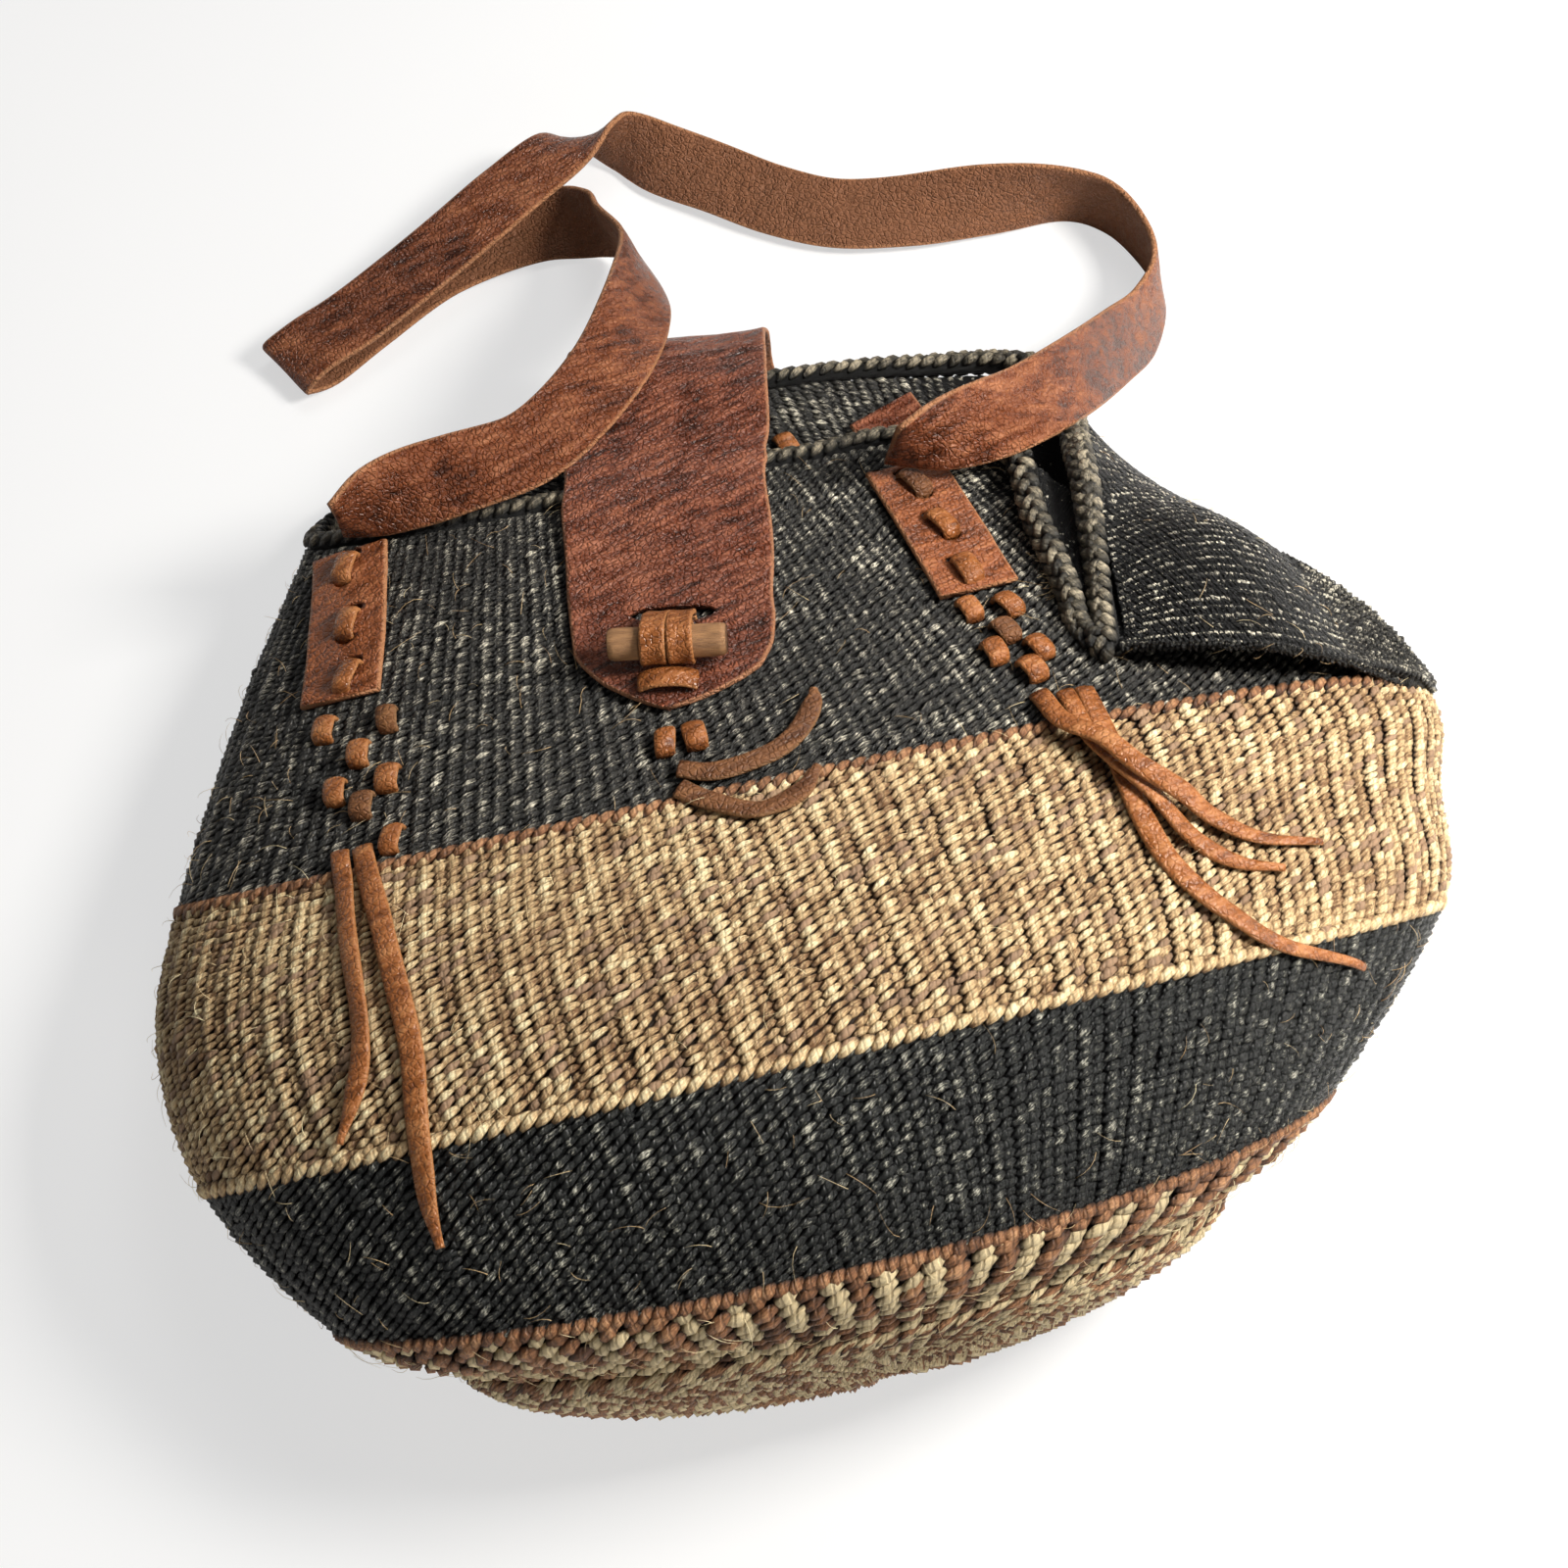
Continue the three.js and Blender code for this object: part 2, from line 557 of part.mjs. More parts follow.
const rootPoints = FLAP_ROOT.map(([row, drop]) => offWall(FLAP_BACK_ANGLE, row, SEAT + drop + LEATHER / 2));
const overKeys = [
  ...rootPoints.map((p) => p.toArray()), ...FLAP_OVER,
  ...[18, SEAT].map((beyond) => flapAxisPoint.clone().addScaledVector(flapEnd.way, beyond).toArray()),
];
const overSteps = (overKeys.length - 1) * 3;
const overPoints = Array.from({ length: overSteps + 1 }, (_, k) => (
  new THREE.Vector3(...spline(overKeys, k / 3))));
const rootSide = wallFrame(FLAP_BACK_ANGLE, FLAP_ROOT[1][0]).round.normalize().negate();
const overSides = overPoints.map((_, k) => rootSide.clone().lerp(flapEnd.across, smoothstep(k / overSteps, 0.4, 1)));
const flapBack = strip(overPoints, overSides, () => FLAP_WIDE, LEATHER);
add('flap_back', surface(solid(flapBack).subtract(hingeSide(SEAT, -1))), 'leather');

// Two laces and a round-ended patch on the inner face of the back wall.
const insideLift = -(WALL + SEAT);
const turnOver = new THREE.Matrix4().makeRotationY(Math.PI);
[['flap_lace_left', -92, 5.55], ['flap_lace_right', -71, 5.6]].forEach(([name, angle, row]) => {
  const frame = standing(angle, row, insideLift).multiply(turnOver);
  add(name, stitch(TAB_STITCH, 0).applyMatrix4(frame), 'lace');
});
const patchRound = (u) => STRAP_WIDE * (u < 0.4 ? Math.sqrt(1 - 0.9 * (1 - u / 0.4) ** 2) : 1);
const patchRoute = [[-56, 5.42], [-57, 5.6], [-58, 5.78]];
const patch = wallSheet(patchRoute, 6, 4, patchRound, LEATHER, () => insideLift - LEATHER);
add('back_patch', patch, 'leather');

// Strap tabs laced to the front wall: each stitch stands in two punched holes.
const tabs = [
  ['left', TAB_LEFT, TAB_LEFT_STITCHES, WALL_LEFT_STITCHES],
  ['right', TAB_RIGHT, TAB_RIGHT_STITCHES, WALL_RIGHT_STITCHES],
];
tabs.forEach(([side, route, tabStitches, wallStitches]) => {
  let tab = solid(wallSheet(route, 10, 4, () => STRAP_WIDE, LEATHER, () => SEAT));
  tabStitches.forEach(([angle, row], i) => {
    const frame = standing(angle, row, SEAT + LEATHER);
    const hole = [LACE_WIDE + 2 * HOLE_EASE, LACE_THICK + 2 * HOLE_EASE, LEATHER * 3];
    [-1, 1].forEach((end) => {
      tab = tab.subtract(solid(block(hole, [0, end * (TAB_STITCH - LACE_THICK) / 2, 0], frame)));
    });
    add(`tab_stitch_${side}_${i + 1}`, stitch(TAB_STITCH, LEATHER - SEAT).applyMatrix4(frame), 'lace');
  });
  add(`strap_tab_${side}`, surface(tab), 'leather');
  wallStitches.forEach(([angle, row], i) => {
    add(`wall_stitch_${side}_${i + 1}`, stitch(WALL_STITCH, 0).applyMatrix4(standing(angle, row, SEAT)), 'lace');
  });
});

// Shoulder strap: one flat band with its twists, lying on the floor behind the mouth.
const strapSteps = (STRAP_ROUTE.length - 1) * 3;
const strapPoints = [];
const strapSides = [];
for (let k = 0; k <= strapSteps; k += 1) {
  const at = spline(STRAP_ROUTE, k / 3);
  const ahead = spline(STRAP_ROUTE, k / 3 + 0.05);
  const way = new THREE.Vector3(ahead[0] - at[0], ahead[1] - at[1], ahead[2] - at[2]);
  strapPoints.push(new THREE.Vector3(at[0], at[1], at[2]));
  strapSides.push(new THREE.Vector3(at[3], at[4], at[5]).cross(way).normalize());
}
add('shoulder_strap', strip(strapPoints, strapSides, () => STRAP_WIDE, LEATHER), 'leather');

// Toggle: a wooden dowel in two lace loops over the slit, with a collar under it.
const dowelHigh = SEAT + ringOut;
const dowel = new THREE.CylinderGeometry(DOWEL_WIDE / 2, DOWEL_WIDE / 2, DOWEL_LONG, 24);
add('toggle_dowel', dowel.rotateZ(Math.PI / 2).translate(0, 0, dowelHigh).applyMatrix4(toggleFrame), 'wood');
const ringShape = new THREE.Shape().absarc(0, 0, ringOut, 0, Math.PI * 2, false);
ringShape.holes.push(new THREE.Path().absarc(0, 0, ringIn, 0, Math.PI * 2, true));
[['left', -1], ['right', 1]].forEach(([side, sign]) => {
  const middle = sign * LOOP_APART / 2;
  const ring = new THREE.ExtrudeGeometry(ringShape, { depth: LACE_WIDE, bevelEnabled: false, curveSegments: 12 })
    .translate(0, 0, -LACE_WIDE / 2).rotateY(Math.PI / 2).translate(middle, 0, dowelHigh)
    .applyMatrix4(toggleFrame);
  const legLong = SLIT_FROM_DOWEL + LACE_THICK / 2;
  const leg = block([LACE_WIDE, legLong, LACE_THICK], [middle, legLong / 2, SEAT + LACE_THICK / 2], toggleFrame);
  add(`toggle_loop_${side}`, surface(solid(ring).add(solid(leg))), 'lace');
  add(`toggle_stem_${side}`,
    block([LACE_WIDE, LACE_THICK, LEATHER], [middle, SLIT_FROM_DOWEL, -LEATHER / 2], toggleFrame), 'lace');
});
const collarAt = -(ringOut + SEAT + LACE_WIDE / 2);
const collarLine = [-9, -6, 0, 6, 9].map((x) => (
  new THREE.Vector3(x, collarAt, SEAT + LACE_THICK / 2 + STITCH_RISE * (1 - (x / 9) ** 2))));
const collarSides = collarLine.map(() => new THREE.Vector3(0, 1, 0));
const collar = strip(collarLine, collarSides, () => LACE_WIDE, LACE_THICK);
add('toggle_collar', collar.applyMatrix4(toggleFrame), 'lace');
TOGGLE_STITCHES.forEach(([angle, row], i) => {
  add(`toggle_stitch_${i + 1}`, stitch(WALL_STITCH, 0).applyMatrix4(standing(angle, row, SEAT)), 'lace');
});

// Loose lace ends.
Object.entries(TAILS).forEach(([name, route]) => {
  add(name, tail(route), 'lace');
});

export default group;
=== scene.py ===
"""Twined sisal bucket bag lying on its back, with leather flap, wooden toggle and shoulder strap."""

import logging
import math
from dataclasses import dataclass, field
from enum import Enum

import bpy
import numpy as np
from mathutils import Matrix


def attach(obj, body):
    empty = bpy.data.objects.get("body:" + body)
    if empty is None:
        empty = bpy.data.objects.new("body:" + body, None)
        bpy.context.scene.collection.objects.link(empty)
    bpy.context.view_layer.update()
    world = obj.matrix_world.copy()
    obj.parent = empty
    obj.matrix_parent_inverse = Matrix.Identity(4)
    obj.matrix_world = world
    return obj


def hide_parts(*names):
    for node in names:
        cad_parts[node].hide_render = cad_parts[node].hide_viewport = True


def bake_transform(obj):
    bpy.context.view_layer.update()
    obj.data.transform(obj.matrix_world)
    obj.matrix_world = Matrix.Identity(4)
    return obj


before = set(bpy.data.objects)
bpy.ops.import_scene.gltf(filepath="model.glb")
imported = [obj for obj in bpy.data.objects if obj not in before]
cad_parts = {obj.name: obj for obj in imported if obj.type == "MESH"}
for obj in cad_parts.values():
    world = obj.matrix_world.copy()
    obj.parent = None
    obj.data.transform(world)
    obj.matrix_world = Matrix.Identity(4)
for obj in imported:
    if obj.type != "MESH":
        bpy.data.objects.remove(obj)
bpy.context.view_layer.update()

LOG = logging.getLogger("sisal_bag")
MM = 0.001
Array = np.ndarray
Triple = tuple[float, float, float]
Colour = Triple
WHITE = (1.0, 1.0, 1.0)

# Sizes of the solids in millimetres and degrees, as the part's source has them
SEAT = 0.3
WALL = 4.5
FOLD_WALL = 2.2
RIM_DEEP = 8.0
RIM_WIDE = 8.6
LEATHER = 2.4
STRAP_WIDE = 25.4
FLAP_WIDE = 69.0
FLAP_LOW_WIDE = 55.0
FLAP_TIP = 26.0
LACE_WIDE = 6.0
LACE_THICK = 2.0
TAIL_WIDE = 5.5
TAIL_THICK = 1.8
WALL_STITCH = 9.5
TAB_STITCH = 13.0
DOWEL_LONG = 37.0
DOWEL_WIDE = 10.5
LOOP_APART = 8.0
SLIT_LONG = 28.0
SLIT_WIDE = 6.0
SLIT_FROM_DOWEL = 18.5
TOGGLE_TURN = -14.0
HINGE_CLEAR = 2.0

# Rows where the bands meet, and the steps for slopes, for ways sideways and for lengths round the wall
BASE_ROW = 1.0
PALE_ROW = 2.0
DARK_ROW = 4.0
RIM_ROW = 6.0
NUDGE = 0.02
SIDE_STEPS = 4
ROUND_STEPS = 1440

# Angles and rows between which the mouth's corner is folded and its wall pressed thin
FOLD_ROW = DARK_ROW
FOLD_ENDS = (62.0, -65.0)
FOLD_FADES = (15.0, 20.0)
FOLD_STARTS = 0.2
FOLD_GROWS = 0.6

# Sections of meshes, cut holes and shaders
EDGE_POINTS = 3
HOLE_SIDES = 20
HOLE_WAVE = 0.06
LONG_RINGS = (-0.8, -0.3, 0.3, 0.8)
NOISE_CELLS = 256
BUMP_STRENGTH = 0.8

# Wall rows from base to rim: front y z, back y z, left x y z, right x y z, and x of the middle
ROWS = np.array([
    [-170, 74, -134, 8, -116, -138, 33, 122, -134, 33, 14],
    [-157, 97, -96, 0, -147, -124, 36, 160, -117, 37, 16],
    [-100, 113, -38, 0, -180, -74, 38, 213, -73, 40, 14],
    [-53, 107, 10, 0, -188, -25, 39, 227, -36, 41, 11],
    [-7, 94, 58, 0, -177, 18, 39, 236, 1, 41, 8],
    [60, 77, 127, 2.5, -148, 90, 36, 197, 70, 38, 4],
    [126, 60, 194, 9, -119, 149, 31, 156, 136, 32, 0],
])
BASE_POLE = np.array([8.0, -175.0, 42.0])
FLAT_BACK = 0.8

# Places of the folded mouth corner on rows 5 and 6, by angle
CORNER_ANGLES = np.array([68.0, 55, 42, 30, 18, 7, -3, -14, -26, -38, -52, -74])
CORNER_PLACES = {
    5: {30: (172, 64, 56), 18: (194, 60, 53), 7: (184, 10, 77), -3: (184, 9, 84), -14: (193, 60, 61),
        -26: (196, 88, 22), -38: (168, 110, 5)},
    6: {42: (125, 107, 61), 30: (126, 76, 68), 18: (127, 50, 73), 7: (128, 26, 78), -3: (132, 20, 84),
        -14: (139, 55, 78), -26: (148, 100, 64), -38: (158, 160, 24), -52: (112, 184, 9)},
}

# Routes and places on the wall: angle, row and, where it isn't SEAT, the lift
FLAP_ROUTE = [(96.5, 4.54), (95.5, 4.68), (94, 4.9), (92.5, 5.22), (90.5, 5.56), (88, 6.1)]
FLAP_BACK_ANGLE = -80.0
PATCH_ROUTE = [(-56, 5.42), (-57, 5.6), (-58, 5.78)]
TAB_ROUTES = {
    "left": [(139.4, 4.95), (141.3, 5.3), (144.5, 5.66), (147.8, 5.92)],
    "right": [(63, 4.875), (61.8, 5.15), (60.1, 5.5), (58.6, 5.78)],
}
TAB_STITCHES = {
    "left": [(146.2, 5.79), (141.3, 5.4), (138.4, 5.06)],
    "right": [(59.6, 5.63), (61, 5.32), (62.8, 4.99)],
}
WALL_STITCHES = {
    "left": [(141, 4.8), (130.5, 4.8), (134, 4.64), (136.5, 4.46), (129, 4.48), (132, 4.36), (127.4, 4.14)],
    "right": [(65.5, 4.77), (61.5, 4.76), (64, 4.61), (66.5, 4.5), (62.4, 4.48), (64.6, 4.36)],
}
TOGGLE_STITCHES = [(97.5, 4.36), (94.5, 4.36)]
FLAP_LACES = {"left": (-92.0, 5.55), "right": (-71.0, 5.6)}
TOGGLE_PLACE = (94.7, 4.8)
TAILS = {
    "tail_left_inner": [(134, 4.12), (132.5, 3.8), (131, 3.14), (131.5, 2.66), (134, 2.34), (137.5, 2.1)],
    "tail_left_outer": [(131, 4.12), (128, 3.6), (126.5, 3.02), (126.5, 2.52), (129, 2), (131.5, 1.7),
                        (133, 1.52)],
    "tail_right_long": [(61.8, 4.18), (62.3, 3.94), (62.4, 3.52), (61.5, 3.06), (60, 2.64), (56.5, 2.3),
                        (50, 2), (36.5, 1.78)],
    "tail_right_thin": [(63.6, 4.18), (64.1, 3.86, 1.4), (63, 3.55, 3.8), (60.5, 3.24, 3.2),
                        (57.5, 2.86, 0.6), (54, 2.62), (49, 2.5)],
    "tail_right_upper": [(65.8, 4.2), (65.9, 3.95, 4), (63.8, 3.72, 7), (61.5, 3.42, 7.2), (58, 3.16, 5.6),
                         (55, 2.98, 1.2), (50.5, 2.76), (43.5, 2.64)],
    "toggle_end_upper": [(97, 4.18), (93.5, 4.12), (89, 4.15), (86, 4.24), (83.6, 4.4), (83, 4.48)],
    "toggle_end_lower": [(97.4, 4.06), (94.5, 3.92), (91, 3.8), (87.5, 3.86), (85.4, 4.02)],
}

# Flap's root as row and lift on the back wall, then its places over the mouth
FLAP_ROOT = [(5.3, 0), (5.65, 0.5), (5.95, 2.4)]
FLAP_OVER = [
    (26.5, 203, 4.4), (26.5, 208.5, 9), (27, 209, 19), (27, 205.5, 30), (25, 196.5, 42), (20, 178, 53),
]

# Strap's middle line from left tab to right tab, each place with the direction that its face looks
STRAP_ROUTE = np.array([
    [-104, 135.5, 64, 0, -0.98, -0.2], [-85, 140, 65.5, 0, -0.8, 0.55], [-63, 143, 66, 0, -0.42, 0.9],
    [-37, 147, 66.5, 0.05, -0.2, 0.98], [-17, 160, 67, 0.1, -0.1, 0.99], [1, 182, 63, 0.25, 0, 0.97],
    [14, 210, 54, 0.6, 0, 0.8], [20, 241, 37, 0.9, 0.15, 0.4], [15, 268, 22, 0.75, 0.65, 0.1],
    [7, 283, 13.5, 0.35, 0.8, -0.5], [-13, 291, 7, 0, 0.35, -0.94], [-52, 283, 4.4, 0, 0.1, -1],
    [-86, 264, 2.6, 0, 0, -1], [-107, 251.5, 2.2, -0.1, 0, -1], [-117.5, 245.5, 7.5, -0.86, -0.5, 0],
    [-107, 250, 13, 0, 0, 1], [-86, 260, 14.5, 0, 0, 1], [-52, 280, 17.5, 0, 0, 1], [-21, 299, 21, 0, 0, 1],
    [2, 313, 22.5, -0.1, 0.1, 0.99], [17, 321, 18, -0.3, 0.75, 0.6], [28, 320, 14, 0.1, 0.97, -0.2],
    [42, 309, 12, 0.2, 0.7, -0.7], [60, 297, 10, 0.15, 0.45, -0.88], [81, 281, 9, 0.1, 0.4, -0.9],
    [103, 269, 9, 0, 0.4, -0.9], [130, 263, 10, 0, 0.5, -0.85], [160, 259, 12.5, 0, 0.8, -0.6],
    [190, 254, 13.6, 0.2, 0.97, -0.1], [206, 243, 13.8, 0.65, 0.75, 0], [213.5, 224, 14, 0.97, 0.2, 0.1],
    [213, 203, 15.5, 0.95, -0.15, 0.25], [200, 182, 21, 0.8, -0.35, 0.45], [180, 161, 39, 0.6, -0.4, 0.65],
    [154, 136, 62, 0.45, -0.35, 0.8], [128, 119, 75, 0.25, -0.35, 0.9], [105, 112, 80, 0.1, -0.75, 0.6],
    [80, 109.5, 82, 0, -0.98, -0.2],
])


def unit(vectors: Array) -> Array:
    """Vectors divided by their lengths, along the last axis."""
    return vectors / np.maximum(np.linalg.norm(vectors, axis=-1, keepdims=True), 1e-12)


def ease(x: Array | float, low: float, high: float) -> Array:
    """Smooth rise from 0 at low to 1 at high: t squared times (3 - 2t)."""
    t = np.clip((np.asarray(x, float) - low) / (high - low), 0, 1)
    return t * t * (3 - 2 * t)


def square_to(vectors: Array, axis: Array) -> Array:
    """Unit vectors along the part of each vector that stands square to a unit axis."""
    return unit(vectors - axis * (vectors * axis).sum(-1, keepdims=True))


def turned(first: Array, second: Array, angle: Array) -> Array:
    """Directions turned from a first to a second: the angle's cosine of one plus its sine of the other."""
    return first * np.cos(angle) + second * np.sin(angle)


def run_along(line: Array) -> Array:
    """Length gone along a line at each of its points, from 0."""
    return np.append(0, np.cumsum(np.linalg.norm(np.diff(line, axis=0), axis=1)))


def wrapped(angle: Array | float) -> Array:
    """Angles in degrees brought between -180 and 180."""
    return (np.asarray(angle, float) + 180) % 360 - 180


def spline(keys: Array, u: Array) -> Array:
    """Smooth curve through keys numbered from 0, running on straight at its ends.

    Each span is a cubic between two keys whose slopes are half the step between the keys on either side.

    Args:
        keys: One row per key.
        u: Places along the keys.

    Returns:
        One row of values per place.
    """
    keys = np.asarray(keys, float)
    u = np.asarray(u, float)
    more = np.vstack([2 * keys[0] - keys[1], keys, 2 * keys[-1] - keys[-2]])
    i = np.clip(np.floor(u).astype(int), 0, len(keys) - 2)
    t = (u - i)[..., None]
    before, start, end, after = more[i], more[i + 1], more[i + 2], more[i + 3]
    bend = t * (1 - t) ** 2 * (end - before) / 2 + t * t * (t - 1) * (after - start) / 2
    return start + (end - start) * t * t * (3 - 2 * t) + bend


def soft_noise(x: Array, y: Array, seed: int) -> Array:
    """Smooth noise from -1 to 1: random values on a whole-number grid, eased between corners.

    Args:
        x: First coordinate.
        y: Second coordinate.
        seed: Which noise.

    Returns:
        One value per place.
    """
    table = np.random.default_rng(seed).uniform(-1, 1, (NOISE_CELLS, NOISE_CELLS))
    i, j = np.floor(x).astype(int), np.floor(y).astype(int)
    u, v = ease(x - i, 0, 1), ease(y - j, 0, 1)
    left, right = i % NOISE_CELLS, (i + 1) % NOISE_CELLS
    below, above = j % NOISE_CELLS, (j + 1) % NOISE_CELLS
    low = table[left, below] * (1 - u) + table[right, below] * u
    high = table[left, above] * (1 - u) + table[right, above] * u
    return low * (1 - v) + high * v


def spotted(x: Array, y: Array, size: tuple[float, float], seed: int) -> Array:
    """Smooth noise in spots of a size along both coordinates."""
    return soft_noise(x / size[0], y / size[1], seed)


class WallShape:
    """Outer surface of the lying bag, by angle round it in degrees and row from base to rim."""

    def __init__(self) -> None:
        """Works out how far the folded mouth corner moves the wall on rows 5 and 6."""
        self.moves: dict[int, Array] = {}
        for row, places in CORNER_PLACES.items():
            plain = self.pot(CORNER_ANGLES, np.full(len(CORNER_ANGLES), float(row)))
            goal = np.array([places.get(int(a), tuple(p)) for a, p in zip(CORNER_ANGLES, plain)], float)
            self.moves[row] = goal - plain

    def pot(self, angle: Array, row: Array) -> Array:
        """Plain pot shape: each row is an oval between side, front and back points, flat at the back.

        Args:
            angle: Angles in degrees.
            row: Rows.

        Returns:
            Points in millimetres.
        """
        k = np.moveaxis(spline(ROWS, row), -1, 0)
        c, s = np.cos(np.radians(angle)), np.sin(np.radians(angle))
        side = np.where(c >= 0, k[7:10], k[4:7])
        reach = np.abs(s)
        low = np.maximum(k[3], 0)
        front = side[2] + (k[1] - side[2]) * reach
        back = low + (side[2] - low) * np.maximum(0, 1 - reach / FLAT_BACK) ** 2
        x = k[10] + (side[0] - k[10]) * np.abs(c)
        y = side[1] + (np.where(s >= 0, k[0], k[2]) - side[1]) * reach
        return np.stack([x, y, np.where(s >= 0, front, back)], -1)

    def corner(self, angle: Array, row: int) -> Array:
        """Shift of the folded corner, smooth over its key angles and zero beyond them.

        Args:
            angle: Angles in degrees.
            row: Row 5 or 6.

        Returns:
            Shifts in millimetres.
        """
        turn = wrapped(angle)
        u = np.interp(-turn, -CORNER_ANGLES, np.arange(len(CORNER_ANGLES)))
        inside = (turn <= CORNER_ANGLES[0]) & (turn >= CORNER_ANGLES[-1])
        return spline(self.moves[row], u) * inside[..., None]

    def point(self, angle: Array, row: Array) -> Array:
        """Wall points: the pot plus the corner's shift, the base closed below row 0.

        Below row 0 the base edge is drawn in to the pole on a quarter circle, and past the rim the wall runs
        on straight.

        Args:
            angle: Angles in degrees.
            row: Rows from -1 to a little past the rim.

        Returns:
            Points in millimetres.
        """
        angle, row = np.broadcast_arrays(np.asarray(angle, float), np.asarray(row, float))
        held = np.clip(row, 0, RIM_ROW)
        p = self.wall(angle, held)
        past = np.maximum(row - RIM_ROW, 0)[..., None]
        if past.any():
            p = p + past * (1 / NUDGE) * (p - self.wall(angle, held - NUDGE))
        arc = (np.clip(row, -1, 0) + 1) * np.pi / 2
        draw = np.stack([np.sin(arc), 1 - np.cos(arc), np.sin(arc)], -1)
        return np.where((row < 0)[..., None], BASE_POLE + (p - BASE_POLE) * draw, p)

    def wall(self, angle: Array, row: Array) -> Array:
        """Wall points between base edge and rim: the corner's shifts are blended by a parabola over the rows.

        Args:
            angle: Angles in degrees.
            row: Rows from 0 to the rim.

        Returns:
            Points in millimetres.
        """
        t = np.clip((row - FOLD_ROW) / 2, 0, 1)[..., None]
        shift = 4 * t * (1 - t) * self.corner(angle, 5) + t * (2 * t - 1) * self.corner(angle, 6)
        return self.pot(angle, row) + shift

    def axes(self, angle: Array, row: Array) -> tuple[Array, Array, Array]:
        """Directions at places on the wall, from small steps to both sides.

        Args:
            angle: Angles in degrees.
            row: Rows.

        Returns:
            Step per degree, step per row and outward normal.
        """
        angle, row = np.asarray(angle, float), np.asarray(row, float)
        round_ = self.point(angle + 0.5, row) - self.point(angle - 0.5, row)
        along = (1 / NUDGE) * (self.point(angle, row + NUDGE / 2) - self.point(angle, row - NUDGE / 2))
        return round_, along, unit(np.cross(along, round_))

    def thick(self, angle: Array, row: Array) -> Array:
        """Thickness of the wall, pressed thin where the mouth's corner is folded.

        Args:
            angle: Angles in degrees.
            row: Rows.

        Returns:
            Thickness in millimetres.
        """
        turn = wrapped(angle)
        pressed = np.minimum((FOLD_ENDS[0] - turn) / FOLD_FADES[0], (turn - FOLD_ENDS[1]) / FOLD_FADES[1])
        grown = np.clip((row - FOLD_ROW - FOLD_STARTS) / FOLD_GROWS, 0, 1)
        return WALL - (WALL - FOLD_WALL) * np.clip(pressed, 0, 1) * grown

    def off(self, angle: Array, row: Array, lift: Array | float) -> Array:
        """Points lifted off the wall along its normal."""
        normal = self.axes(angle, row)[2]
        return self.point(angle, row) + normal * np.asarray(lift, float)[..., None]

    def even_angles(self, row: float, count: int) -> Array:
        """Angles that stand evenly by length round one row.

        Args:
            row: The row.
            count: How many.

        Returns:
            Angles in degrees.
        """
        fine = np.linspace(0, 360, ROUND_STEPS + 1)
        length = run_along(self.point(fine, np.full(fine.shape, row)))
        return np.interp(np.arange(count) / count * length[-1], length, fine)

    def route(self, keys: list[tuple[float, ...]], steps: int) -> tuple[Array, ...]:
        """Even steps along a route on the wall.

        Args:
            keys: Angle, row and if given the lift off the wall.
            steps: How many steps.

        Returns:
            Angle, row, lift, direction, outward normal and sideways direction at each step.
        """
        full = np.array([(k[0], k[1], k[2] if len(k) > 2 else SEAT) for k in keys], float)
        u = np.linspace(0, len(full) - 1, steps + 1)
        here = spline(full, u)
        ahead = spline(full, np.minimum(u + NUDGE, len(full) - 1))
        behind = spline(full, np.maximum(u - NUDGE, 0))
        way = unit(self.point(ahead[:, 0], ahead[:, 1]) - self.point(behind[:, 0], behind[:, 1]))
        normal = self.axes(here[:, 0], here[:, 1])[2]
        return here[:, 0], here[:, 1], here[:, 2], way, normal, unit(np.cross(normal, way))

    def side_step(self, angle: Array, row: Array, across: Array, distance: Array) -> tuple[Array, Array]:
        """Angle and row a distance sideways from places on the wall.

        The way is gone in short steps, each by least squares on the wall's two directions there.

        Args:
            angle: Angles in degrees.
            row: Rows.
            across: Sideways direction at each place.
            distance: How far.

        Returns:
            New angles and rows.
        """
        angle, row, _ = (a + 0.0 for a in np.broadcast_arrays(angle, row, distance))
        for _ in range(SIDE_STEPS):
            round_, along, _ = self.axes(angle, row)
            rr, ra, aa = (round_ * round_).sum(-1), (round_ * along).sum(-1), (along * along).sum(-1)
            pr, pa = (across * round_).sum(-1), (across * along).sum(-1)
            step = distance / (SIDE_STEPS * (rr * aa - ra * ra))
            angle, row = angle + step * (pr * aa - pa * ra), row + step * (pa * rr - pr * ra)
        return angle, row

    def standing(self, angle: float, row: float, lift: float) -> tuple[Array, Array]:
        """Frame standing on the wall: x across, y to the mouth, z outward.

        Args:
            angle: Angle in degrees.
            row: Row.
            lift: Height off the wall.

        Returns:
            Origin and axes.
        """
        _, along, normal = self.axes(np.array(angle), np.array(row))
        y = unit(along - normal * (along @ normal))
        return self.off(np.array(angle), np.array(row), lift), np.stack([np.cross(y, normal), y, normal])


BAG = WallShape()


